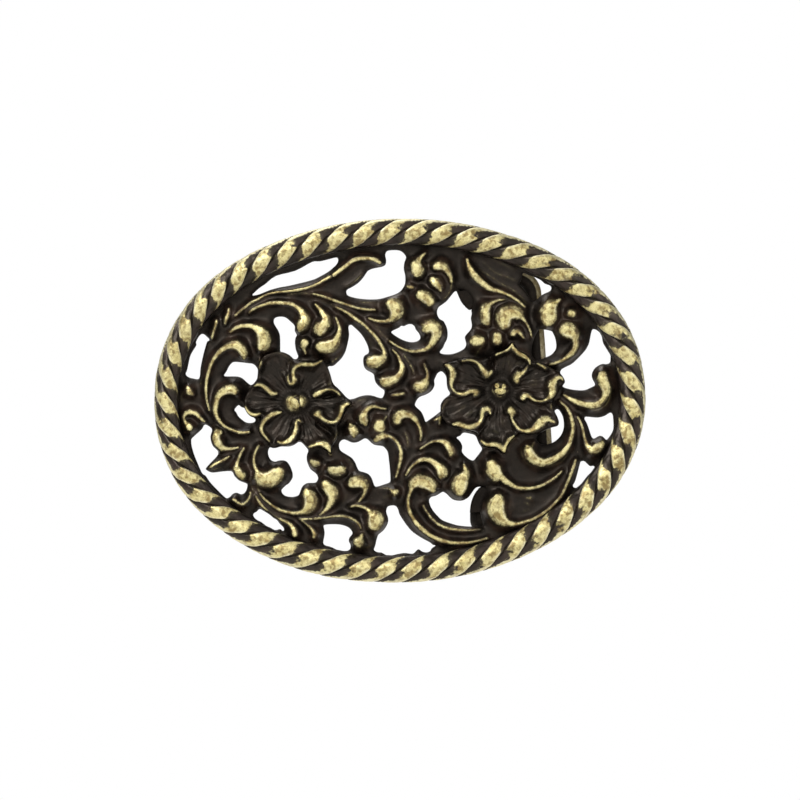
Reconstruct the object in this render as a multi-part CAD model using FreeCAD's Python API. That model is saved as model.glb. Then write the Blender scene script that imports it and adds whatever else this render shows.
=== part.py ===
"""Western oval openwork belt buckle with a wire bale and a belt hook, in millimetres.

Frame: X to the right, Z up, the decorated face looks along -Y and the belt side along +Y.
The origin is the middle of the oval on the back face of the casting. The whole casting is
bent about a vertical axis, so that it follows the wearer: its back face is a cylinder of
radius BEND_R whose axis is parallel to Z through (0, BEND_R).
"""
import FreeCAD
import Part
import math
import os

os.makedirs("parts", exist_ok=True)
V = FreeCAD.Vector

# ---------------------------------------------------------------- driving dimensions (mm)
BEND_R = 250.0          # radius of the bend of the back face
RIM_HEIGHT = 4.6        # rope rim, from the back face to the top of the strands
RIM_FILLET = 1.7        # rounding of the rim's front edges
PLATE_HEIGHT = 2.6      # mean thickness of the scrollwork and petals
BEAD_R = 1.45           # round bead in the heart of each flower
LEFT_FLOWER_C = (-18.6, -0.25)
RIGHT_FLOWER_C = (18.1, 2.2)

BALE_WIRE_R = 1.6       # wire of the bale
BALE_EYE_R = 2.6        # round knuckle at each hinge end of the bale
BALE_EYE_IN_U, BALE_EYE_OUT_U = 20.25, 22.9   # the knuckle's two faces, along the hinge axis
BALE_PIN_R = 1.3        # its turned-in ends
BALE_CORNER_R = 3.0     # bend radius of the wire's centre line at the bar
BALE_TURN_R = 1.8       # bend radius where the ends turn in
BALE_REACH = 11.6       # hinge axis to the middle of the bar
BALE_ARM_U = 21.75      # half the distance between the two arms
BALE_PIN_END_U = 15.2   # where the turned-in ends stop
HINGE_C = (13.85, -0.10)  # hinge axis, middle, in X and Z
HINGE_TILT = 4.0        # the hinge axis leans this many degrees to the left at its top
HINGE_STANDOFF = 3.2    # hinge axis behind the back face
LUG_IN_U = 16.0         # lugs, inner end and outer end along the hinge axis
LUG_OUT_U = 19.8
LUG_R = 2.5             # rounded end of the lug
LUG_BORE_R = 1.35       # running fit on BALE_PIN_R

HOOK_C = (-18.0, 0.0)   # belt hook, middle of its root, in X and Z
HOOK_BOSS_R = 3.6
HOOK_BOSS_H = 2.2       # middle of the boss's top above the back face
HOOK_R = 2.0            # peg
HOOK_LEN = 5.5          # straight part of the peg, before its round tip
HOOK_LEAN = 22.0        # degrees outwards, towards -X

# rim outline, outer edge, clockwise from the top (X, Z)
RIM_OUTER = [
    (0.00, 32.85), (7.63, 32.49), (15.08, 31.19), (22.17, 29.05), (28.69, 26.02),
    (34.35, 22.01), (38.92, 17.19), (42.19, 11.74), (44.03, 5.92), (44.55, 0.00),
    (43.76, -5.85), (41.65, -11.47), (38.26, -16.67), (33.70, -21.26), (28.19, -25.19),
    (21.89, -28.39), (14.97, -30.80), (7.61, -32.32), (0.00, -32.89), (-7.64, -32.60),
    (-15.13, -31.39), (-22.20, -29.14), (-28.66, -25.96), (-34.30, -21.96), (-38.90, -17.18),
    (-42.13, -11.71), (-44.01, -5.91), (-44.60, -0.00), (-44.00, 5.91), (-42.07, 11.68),
    (-38.81, 17.11), (-34.24, 21.89), (-28.55, 25.79), (-22.07, 28.82), (-15.03, 31.01),
    (-7.61, 32.37),
]
# rim outline, inner edge, where the scrollwork joins it
RIM_INNER = [
    (0.00, 28.12), (7.02, 27.75), (13.86, 26.56), (20.30, 24.58), (26.17, 21.86),
    (31.22, 18.38), (35.14, 14.17), (37.83, 9.55), (39.33, 4.77), (39.74, 0.00),
    (39.08, -4.71), (37.30, -9.28), (34.41, -13.59), (30.46, -17.50), (25.62, -20.95),
    (19.99, -23.83), (13.72, -26.03), (6.99, -27.47), (0.00, -28.06), (-7.03, -27.80),
    (-13.89, -26.67), (-20.33, -24.66), (-26.19, -21.90), (-31.23, -18.40), (-35.26, -14.27),
    (-38.06, -9.66), (-39.63, -4.84), (-40.11, -0.00), (-39.58, 4.83), (-37.92, 9.59),
    (-35.10, 14.14), (-31.09, 18.22), (-26.03, 21.63), (-20.21, 24.36), (-13.80, 26.34),
    (-7.01, 27.62),
]
# outlines of the two flowers (X, Z)
LEFT_FLOWER = [
    (-25.68, 5.33), (-25.14, 7.32), (-24.59, 8.05), (-22.24, 8.86), (-20.98, 8.68),
    (-19.89, 8.14), (-19.26, 7.41), (-18.44, 7.05), (-16.27, 7.05), (-14.10, 7.59),
    (-13.56, 6.96), (-13.02, 5.88), (-12.21, 3.35), (-9.95, 0.63), (-8.68, -0.36),
    (-9.95, -1.90), (-10.67, -3.71), (-11.12, -4.34), (-11.21, -6.06), (-11.48, -7.05),
    (-12.30, -8.41), (-12.39, -9.67), (-13.11, -9.04), (-14.10, -8.63), (-16.46, -8.68),
    (-17.90, -7.41), (-19.35, -8.14), (-21.52, -8.32), (-22.42, -8.59), (-23.33, -8.50),
    (-24.95, -6.60), (-25.50, -5.52), (-25.59, -4.43), (-24.95, -2.98), (-26.76, -2.98),
    (-27.49, -2.44), (-28.30, -0.81), (-28.12, 0.27), (-27.67, 1.36), (-26.31, 2.89),
    (-25.86, 3.80),
]
RIGHT_FLOWER = [
    (7.87, 6.51), (11.21, 7.56), (15.19, 7.69), (16.46, 8.05), (17.36, 8.68), (18.63, 9.04),
    (19.53, 9.67), (20.25, 10.49), (21.52, 8.95), (22.78, 8.32), (23.51, 7.69), (23.87, 6.96),
    (24.77, 7.00), (25.86, 6.60), (28.93, 4.97), (29.48, 4.25), (29.84, 3.44), (29.57, 2.80),
    (28.75, 2.08), (27.49, -0.27), (28.75, -3.98), (28.48, -4.61), (26.40, -5.30),
    (25.32, -5.88), (24.05, -6.15), (21.52, -5.97), (20.07, -7.23), (19.44, -8.23),
    (18.90, -9.58), (17.18, -8.50), (15.91, -8.41), (14.83, -7.96), (14.29, -7.14),
    (14.20, -6.15), (13.38, -5.52), (9.58, -4.79), (8.59, -4.25), (7.96, -3.53), (7.41, -2.44),
    (7.32, -1.36), (7.59, -0.45), (8.32, 0.54), (9.04, 1.18),
]
# openings of the scrollwork (X, Z)
OPENINGS = {
    "upper_left_long": [
        (-26.85, 19.08), (-25.50, 20.34), (-22.42, 22.57), (-18.99, 23.42), (-15.91, 25.05),
        (-14.47, 25.14), (-11.93, 25.80), (-11.30, 25.77), (-11.21, 25.23), (-11.48, 24.59),
        (-12.12, 23.96), (-13.02, 23.24), (-15.91, 21.79), (-21.70, 20.47), (-23.51, 19.98),
        (-25.32, 19.26), (-26.22, 19.04),
    ],
    "over_left_flower": [
        (-22.78, 14.74), (-22.24, 15.10), (-21.16, 15.14), (-20.43, 14.83), (-18.99, 13.47),
        (-18.99, 12.57), (-18.63, 11.84), (-18.90, 11.30), (-18.99, 10.40), (-18.44, 7.87),
        (-19.08, 7.50), (-19.89, 8.26), (-21.16, 8.72), (-21.65, 9.13), (-21.79, 12.03),
        (-22.78, 13.83),
    ],
    "left_edge": [
        (-36.17, 11.93), (-35.62, 12.03), (-34.54, 11.12), (-34.63, 10.76), (-34.99, 10.58),
        (-35.62, 8.50), (-36.27, 4.61), (-36.53, 3.89), (-38.34, 4.25), (-38.88, 4.79),
        (-38.07, 7.87), (-36.89, 10.04), (-36.98, 10.49), (-36.71, 11.21),
    ],
    "left_flower_upper": [
        (-30.20, 6.96), (-27.49, 6.78), (-26.58, 6.60), (-26.04, 6.15), (-25.71, 5.52),
        (-25.95, 3.89), (-26.40, 3.16), (-26.76, 2.86), (-27.22, 2.89), (-28.93, 4.20),
        (-31.74, 4.38), (-31.83, 4.70), (-31.10, 5.97),
    ],
    "centre_large": [
        (-9.22, 13.56), (-8.86, 13.69), (-8.50, 13.47), (-7.05, 12.03), (-5.97, 10.22),
        (-5.61, 9.13), (-5.70, 8.50), (-6.33, 8.14), (-6.60, 7.59), (-6.42, 6.06),
        (-5.97, 5.52), (-4.70, 4.70), (-4.34, 3.25), (-2.80, 1.81), (-2.89, 0.99),
        (-3.25, 0.45), (-5.06, 0.90), (-6.15, 0.94), (-8.68, 0.27), (-9.40, 0.31),
        (-12.03, 2.89), (-13.02, 5.70), (-12.84, 6.15), (-12.12, 6.27), (-11.39, 6.87),
        (-10.13, 8.41), (-9.22, 11.48),
    ],
    "centre_small": [
        (-1.54, 12.48), (-0.18, 13.20), (0.18, 13.56), (0.72, 13.47), (1.27, 13.74),
        (1.99, 13.83), (2.62, 13.47), (2.89, 12.84), (3.44, 12.21), (3.71, 11.48),
        (3.53, 11.03), (2.89, 10.67), (1.99, 10.58), (1.08, 10.76), (0.00, 11.21),
        (-0.90, 11.75), (-1.45, 12.21),
    ],
    "upper_right_of_centre": [
        (10.85, 19.62), (12.66, 17.27), (13.02, 15.64), (12.84, 14.92), (13.02, 13.65),
        (12.84, 12.84), (11.84, 11.66), (12.03, 10.22), (11.75, 9.49), (10.31, 8.68),
        (9.22, 8.41), (7.96, 8.41), (7.32, 8.59), (7.23, 8.86), (7.78, 9.58), (8.41, 10.94),
        (8.59, 11.84), (8.50, 12.93), (8.14, 13.83), (7.78, 14.38), (7.23, 14.65),
        (6.87, 15.10), (6.69, 16.27), (7.05, 17.00), (8.32, 17.90), (10.13, 19.98),
    ],
    "between_flowers": [
        (7.41, 5.24), (7.96, 4.88), (8.41, 4.25), (8.68, 2.08), (9.04, 1.45), (8.95, 1.08),
        (7.78, 0.09), (7.32, -0.72), (7.23, -2.08), (4.88, -3.80), (4.52, -3.62),
        (3.80, -1.99), (2.75, -0.99), (2.80, -0.45), (3.07, 0.18), (3.62, 0.72), (5.42, 1.54),
        (5.97, 2.17), (6.24, 2.89), (6.15, 3.62), (6.42, 4.25), (6.78, 4.88),
    ],
    "bale_window_upper": [
        (25.32, 12.93), (27.31, 12.66), (27.76, 12.21), (28.21, 11.12), (28.30, 9.67),
        (27.85, 8.77), (27.12, 8.14), (24.95, 7.32), (24.23, 7.59), (23.78, 8.77),
        (24.23, 11.12),
    ],
    "right_large": [
        (34.81, 12.66), (35.26, 12.89), (35.80, 12.66), (36.35, 12.12), (36.89, 10.31),
        (38.07, 8.41), (38.07, 6.87), (37.43, 6.56), (36.71, 6.60), (35.99, 6.29),
        (35.35, 5.79), (34.95, 5.15), (34.81, 4.52), (35.44, 2.86), (34.90, 2.44),
        (33.63, 1.95), (32.37, 1.86), (30.92, 2.03), (29.84, 2.35), (29.39, 2.89),
        (29.84, 3.44), (29.57, 4.07), (29.02, 4.61), (29.02, 5.06), (29.29, 5.61),
        (31.10, 6.60), (33.54, 9.04), (34.36, 10.58),
    ],
    "left_flower_lower": [
        (-29.20, -0.81), (-28.75, -1.18), (-28.03, -1.36), (-27.12, -2.71), (-26.13, -3.44),
        (-26.31, -3.89), (-26.94, -4.07), (-27.85, -3.98), (-29.29, -2.89), (-30.02, -1.72),
    ],
    "lower_left": [
        (-35.62, -4.52), (-35.17, -4.34), (-34.18, -4.97), (-34.00, -5.52), (-34.27, -6.42),
        (-34.18, -7.32), (-33.82, -8.23), (-32.91, -9.31), (-33.09, -10.04), (-35.17, -12.33),
        (-35.08, -12.57), (-34.18, -13.02), (-30.56, -12.75), (-29.48, -14.10),
        (-28.93, -14.56), (-27.85, -14.97), (-27.61, -15.28), (-27.85, -16.37),
        (-28.30, -16.87), (-28.84, -17.00), (-29.75, -16.73), (-30.29, -16.96),
        (-31.19, -17.69), (-31.74, -17.54), (-34.18, -15.10), (-35.26, -13.65),
        (-35.99, -13.02), (-37.43, -9.49), (-37.88, -7.50), (-37.61, -6.69), (-35.99, -5.24),
    ],
    "under_left_flower": [
        (-23.51, -8.59), (-23.06, -8.77), (-21.52, -8.32), (-19.89, -8.28), (-18.99, -7.78),
        (-18.17, -7.59), (-17.54, -7.96), (-16.91, -8.50), (-16.58, -9.04), (-16.82, -9.86),
        (-16.82, -10.76), (-16.55, -11.66), (-16.09, -12.48), (-15.19, -13.20),
        (-14.77, -14.01), (-15.01, -14.65), (-15.37, -14.92), (-16.64, -14.97),
        (-17.18, -15.19), (-17.72, -15.73), (-18.21, -17.00), (-18.63, -17.32),
        (-19.35, -17.47), (-20.43, -17.36), (-21.16, -17.00), (-21.48, -16.46),
        (-21.43, -16.09), (-20.16, -15.01), (-19.53, -14.10), (-19.53, -12.93),
        (-20.07, -11.66), (-20.80, -10.94), (-21.88, -10.90), (-22.60, -11.12),
        (-23.33, -10.85), (-23.73, -10.22), (-23.87, -9.40),
    ],
    "centre_lower": [
        (-10.04, -7.05), (-8.68, -7.59), (-7.78, -7.54), (-6.51, -6.91), (-5.88, -6.96),
        (-4.70, -7.96), (-3.16, -8.23), (-2.53, -8.86), (-2.17, -9.67), (-1.81, -12.57),
        (-1.81, -14.74), (-4.34, -15.64), (-4.79, -15.10), (-5.15, -14.10), (-5.70, -13.38),
        (-7.41, -12.75), (-8.14, -11.21), (-8.86, -10.31), (-10.49, -9.31), (-10.94, -8.77),
        (-11.03, -8.05), (-10.76, -7.41),
    ],
    "under_right_flower": [
        (10.22, -6.69), (10.85, -6.42), (11.30, -5.88), (11.75, -5.79), (13.47, -6.24),
        (14.74, -8.41), (14.83, -8.95), (13.29, -10.81), (12.84, -10.76), (12.12, -10.31),
        (11.21, -9.31), (11.30, -8.41), (11.12, -7.78),
    ],
    "bale_window_lower": [
        (28.21, -1.81), (28.66, -1.63), (29.20, -2.26), (29.62, -3.35), (29.66, -4.97),
        (29.20, -6.24), (28.39, -7.14), (27.49, -7.69), (26.40, -7.96), (25.50, -7.87),
        (24.86, -7.32), (24.68, -6.69), (25.23, -5.97), (27.12, -4.88), (28.03, -4.79),
        (28.57, -4.52), (28.70, -3.98), (28.12, -2.26),
    ],
    "right_lower": [
        (33.51, -3.02), (35.62, -3.13), (36.53, -3.02), (38.25, -2.22), (38.55, -2.53),
        (38.66, -3.16), (38.70, -5.15), (37.70, -6.96), (37.43, -7.20), (36.80, -6.60),
        (36.35, -6.42), (35.08, -6.93), (34.76, -6.60), (33.91, -4.25), (33.45, -3.44),
    ],
    "right_small": [
        (32.91, -11.03), (33.45, -11.03), (34.45, -11.93), (35.08, -11.84), (35.32, -12.21),
        (35.17, -12.75), (33.82, -13.83), (32.73, -15.28), (32.28, -15.70), (31.83, -15.82),
        (31.46, -15.70), (31.32, -15.37), (31.83, -14.38), (32.64, -11.30),
    ],
    "upper_centre": [
        (-1.99, 27.12), (0.00, 27.09), (1.05, 26.13), (0.72, 23.78), (0.99, 21.61),
        (0.87, 20.89), (0.45, 20.16), (-0.18, 19.53), (-1.08, 19.08), (-3.62, 18.35),
        (-5.24, 18.25), (-6.87, 18.35), (-9.40, 18.99), (-9.73, 19.53), (-9.58, 20.07),
        (-7.59, 21.28), (-6.06, 23.15), (-5.52, 23.60), (-3.25, 24.23), (-2.66, 24.59),
        (-2.53, 26.76),
    ],
    "bale_window_corner": [
        (22.33, 23.15), (25.50, 21.79), (26.22, 21.16), (27.31, 20.71), (27.40, 20.16),
        (27.03, 19.71), (25.50, 18.90), (24.14, 17.90), (21.57, 21.07),
    ],
    "bottom_left_small": [
        (-26.58, -20.71), (-25.41, -19.62), (-24.95, -19.80), (-22.24, -21.61),
        (-21.16, -22.88), (-20.98, -23.38), (-21.08, -23.60), (-21.61, -23.29),
        (-22.97, -23.45), (-23.51, -23.29), (-26.31, -21.25),
    ],
    "bottom_square": [
        (-13.83, -22.69), (-13.56, -22.51), (-12.66, -22.42), (-10.31, -22.57),
        (-9.40, -22.93), (-8.86, -23.38), (-8.54, -23.96), (-9.13, -24.86), (-9.22, -25.50),
        (-8.95, -25.95), (-8.90, -26.58), (-9.13, -27.03), (-9.76, -27.22), (-10.67, -27.16),
        (-13.47, -26.22), (-13.87, -25.77), (-13.62, -23.96),
    ],
    "bottom_centre": [
        (-2.53, -19.98), (-2.35, -19.35), (-1.99, -19.08), (-1.08, -19.02), (-0.63, -19.26),
        (0.00, -20.80), (1.81, -23.33), (3.62, -24.68), (5.42, -25.64), (5.97, -26.13),
        (6.60, -26.18), (5.70, -26.73), (5.52, -27.12), (5.06, -27.40), (4.43, -27.43),
        (3.53, -26.94), (3.16, -26.94), (2.44, -27.63), (0.36, -27.61), (-2.17, -28.03),
        (-3.35, -27.49), (-3.98, -27.45), (-4.52, -27.22), (-4.74, -26.94), (-4.07, -24.50),
        (-2.53, -22.78), (-2.17, -21.88),
    ],
    "bottom_right": [
        (5.24, -18.17), (5.42, -17.63), (5.79, -17.36), (6.51, -17.18), (7.59, -16.55),
        (7.96, -16.55), (9.58, -17.87), (10.31, -18.08), (11.21, -18.08), (11.93, -17.78),
        (12.57, -17.27), (13.47, -16.00), (14.10, -15.64), (15.19, -15.70), (15.55, -16.18),
        (14.47, -19.26), (14.56, -20.52), (15.01, -22.69), (13.74, -22.84), (10.85, -22.69),
        (7.78, -21.75), (6.06, -20.07), (5.52, -19.17),
    ],
}


# ---------------------------------------------------------------- helpers
def back_y(x):
    """Y of the back face at x."""
    return BEND_R - math.sqrt(BEND_R ** 2 - x ** 2)


def big_cylinder(r):
    return Part.makeCylinder(r, 120, V(0, BEND_R, -60), V(0, 0, 1))


BACK = big_cylinder(BEND_R)


def shell(h0, h1):
    """The layer between heights h0 and h1 above the back face."""
    inner = BACK if h0 == 0 else big_cylinder(BEND_R + h0)
    return big_cylinder(BEND_R + h1).cut(inner)


def polygon(points):
    p = [V(x, 0, z) for x, z in points]
    return Part.makePolygon(p + [p[0]])


def spline(points):
    c = Part.BSplineCurve()
    c.interpolate([V(x, 0, z) for x, z in points], PeriodicFlag=True)
    return c


def prism(wire_or_face, y0=-12.0, y1=12.0):
    face = wire_or_face if wire_or_face.ShapeType == "Face" else Part.Face(wire_or_face)
    face = face.copy()
    face.translate(V(0, y0, 0))
    return face.extrude(V(0, y1 - y0, 0))


def one(shape, name):
    """The single solid of a shape, or a stop if there are several."""
    shape = shape.removeSplitter() if hasattr(shape, "removeSplitter") else shape
    solids = shape.Solids
    if len(solids) != 1:
        raise RuntimeError("%s has %d solids: %s" % (name, len(solids), [round(s.Volume, 2) for s in solids]))
    if not solids[0].isValid():
        raise RuntimeError(name + " is not valid")
    return solids[0]


def save(name, shape):
    s = one(shape, name)
    s.exportStep("parts/%s.step" % name)
    b = s.BoundBox
    print("%-18s faces %4d volume %8.1f  x %6.2f..%6.2f  y %6.2f..%6.2f  z %6.2f..%6.2f"
          % (name, len(s.Faces), s.Volume, b.XMin, b.XMax, b.YMin, b.YMax, b.ZMin, b.ZMax))
    return s


# ---------------------------------------------------------------- rope rim
inner_curve = spline(RIM_INNER)
f, l = inner_curve.FirstParameter, inner_curve.LastParameter
inner_points = []
for i in range(72):
    q = inner_curve.value(f + (l - f) * i / 72.0)
    inner_points.append((q.x, q.z))
inner_wire = polygon(inner_points)
outer_prism = prism(Part.Wire([spline(RIM_OUTER).toShape()]))
inner_prism = prism(inner_wire)
front_cylinder = big_cylinder(BEND_R + RIM_HEIGHT)

solid_oval = outer_prism.common(shell(0, RIM_HEIGHT))
top_edges = [
    e for e in solid_oval.Edges
    if all(abs(math.hypot(p.x, p.y - BEND_R) - BEND_R - RIM_HEIGHT) < 1e-3
           for p in [e.valueAt(e.FirstParameter + (e.LastParameter - e.FirstParameter) * k / 5.0) for k in range(6)])
]
rounded = solid_oval.makeFillet(RIM_FILLET, top_edges)
rim = rounded.cut(inner_prism)
save("rope_rim", rim)

# ---------------------------------------------------------------- scrollwork and flowers
layer = shell(0, PLATE_HEIGHT)
plate_face = Part.Face(inner_wire)
hole_faces = [Part.Face(polygon(p)) for p in OPENINGS.values()]
left_face = Part.Face(polygon(LEFT_FLOWER))
right_face = Part.Face(polygon(RIGHT_FLOWER))
left_flat = left_face.cut(hole_faces)
right_flat = right_face.cut(hole_faces)
scroll_flat = plate_face.cut(hole_faces + [left_face, right_face])


def largest(shape):
    """The largest face: slivers that the openings cut off an outline are dropped."""
    faces = sorted(shape.Faces, key=lambda a: -a.Area)
    dropped = sum(a.Area for a in faces[1:])
    print("kept face %.1f mm2, dropped %d slivers of %.3f mm2" % (faces[0].Area, len(faces) - 1, dropped))
    return faces[0]


save("scrollwork", prism(largest(scroll_flat)).common(layer))
save("left_flower", prism(largest(left_flat)).common(layer))
save("right_flower", prism(largest(right_flat)).common(layer))

petals_top = big_cylinder(BEND_R + PLATE_HEIGHT)
for name, (cx, cz) in (("left_flower_bead", LEFT_FLOWER_C), ("right_flower_bead", RIGHT_FLOWER_C)):
    bead = Part.makeSphere(BEAD_R, V(cx, back_y(cx) - PLATE_HEIGHT - 0.1, cz))
    save(name, bead.cut(petals_top))

# ---------------------------------------------------------------- bale lugs and bale
tilt = math.radians(HINGE_TILT)
U = V(-math.sin(tilt), 0, math.cos(tilt))    # along the hinge axis, upwards
N = V(math.cos(tilt), 0, math.sin(tilt))     # from the hinge axis to the bar
H = V(HINGE_C[0], back_y(HINGE_C[0]) + HINGE_STANDOFF, HINGE_C[1])
print("hinge point", tuple(round(c, 4) for c in H), "axis", tuple(round(c, 6) for c in U))


def at(u, n, y=0.0):
    return H + U * u + N * n + V(0, y, 0)


def lug(u0, u1):
    post = Part.Face(Part.makePolygon([at(u0, -LUG_R, -8), at(u0, LUG_R, -8), at(u0, LUG_R), at(u0, -LUG_R), at(u0, -LUG_R, -8)]))
    post = post.extrude(U * (u1 - u0))
    round_end = Part.makeCylinder(LUG_R, u1 - u0, at(u0, 0), U)
    body = post.fuse(round_end).common(BACK)
    # only the half towards the plate of the bend's cylinder is wanted
    bore = Part.makeCylinder(LUG_BORE_R, u1 - u0 + 2, at(u0 - 1, 0), U)
    return body.cut(bore)


save("upper_bale_lug", lug(LUG_IN_U, LUG_OUT_U))
save("lower_bale_lug", lug(-LUG_OUT_U, -LUG_IN_U))

# the wire runs from one turned-in end round the bar to the other
c45 = math.sqrt(0.5)
t, c = BALE_TURN_R, BALE_CORNER_R


def arc(u0, n0, um, nm, u1, n1):
    return Part.Arc(at(u0, n0), at(um, nm), at(u1, n1)).toShape()


def line(u0, n0, u1, n1):
    return Part.LineSegment(at(u0, n0), at(u1, n1)).toShape()


a, b = BALE_ARM_U, BALE_REACH
path = Part.Wire([
    arc(a - t, 0, a - t + t * c45, t - t * c45, a, t),
    line(a, t, a, b - c),
    arc(a, b - c, a - c + c * c45, b - c + c * c45, a - c, b),
    line(a - c, b, -a + c, b),
    arc(-a + c, b, -a + c - c * c45, b - c + c * c45, -a, b - c),
    line(-a, b - c, -a, t),
    arc(-a, t, -a + t - t * c45, t - t * c45, -a + t, 0),
])
section = Part.Wire([Part.Circle(at(a - t, 0), U, BALE_WIRE_R).toShape()])
wire = path.makePipeShell([section], True, False)
for s in (1, -1):
    wire = wire.fuse(Part.makeCylinder(BALE_PIN_R, a - t - BALE_PIN_END_U + 0.2, at(s * BALE_PIN_END_U, 0), U * s))
    eye = Part.makeCylinder(BALE_EYE_R, BALE_EYE_OUT_U - BALE_EYE_IN_U, at(s * BALE_EYE_IN_U, 0), U * s)
    wire = wire.fuse(eye.fuse(Part.makeCone(BALE_EYE_R, BALE_EYE_R - 0.7, 0.5, at(s * BALE_EYE_OUT_U, 0), U * s)))
save("bale", wire)

# ---------------------------------------------------------------- belt hook
lean = math.radians(HOOK_LEAN)
D = V(-math.sin(lean), math.cos(lean), 0)
P = V(HOOK_C[0], back_y(HOOK_C[0]) + HOOK_BOSS_H, HOOK_C[1])
# the boss leans with the peg, so its top is square to the peg and a belt seats flat on it
boss = Part.makeCylinder(HOOK_BOSS_R, 8.0, P - D * 8, D)
boss = boss.makeFillet(0.4, [e for e in boss.Edges if abs((e.BoundBox.Center - P).Length) < 0.05 and e.isClosed() and len(e.Vertexes) == 1])
save("hook_boss", boss.common(BACK))
peg = Part.makeCylinder(HOOK_R, HOOK_LEN, P, D).fuse(Part.makeSphere(HOOK_R, P + D * HOOK_LEN))
root = Part.makeBox(40, 20, 40, V(-20, -20, -20))
root.rotate(V(0, 0, 0), V(0, 0, 1), HOOK_LEAN)
root.translate(P)
save("belt_hook", peg.cut(root))
print("hook", tuple(round(k, 4) for k in P), tuple(round(k, 5) for k in D))
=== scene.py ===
"""Antique brass openwork belt buckle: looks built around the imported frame."""
import math

import bpy
import numpy as np
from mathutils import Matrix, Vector


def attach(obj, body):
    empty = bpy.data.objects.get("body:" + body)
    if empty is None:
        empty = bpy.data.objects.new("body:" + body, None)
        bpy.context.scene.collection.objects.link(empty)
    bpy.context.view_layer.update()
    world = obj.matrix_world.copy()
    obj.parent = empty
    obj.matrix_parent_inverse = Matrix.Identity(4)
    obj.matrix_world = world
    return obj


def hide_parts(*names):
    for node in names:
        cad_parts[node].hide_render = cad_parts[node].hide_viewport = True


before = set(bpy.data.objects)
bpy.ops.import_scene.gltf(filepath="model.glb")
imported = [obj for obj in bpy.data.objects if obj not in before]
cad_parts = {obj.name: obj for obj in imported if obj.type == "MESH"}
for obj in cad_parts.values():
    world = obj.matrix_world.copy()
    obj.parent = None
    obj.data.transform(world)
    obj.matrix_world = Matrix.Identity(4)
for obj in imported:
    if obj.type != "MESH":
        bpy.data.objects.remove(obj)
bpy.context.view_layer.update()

MM = 0.001
BEND_R = 250.0

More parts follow.
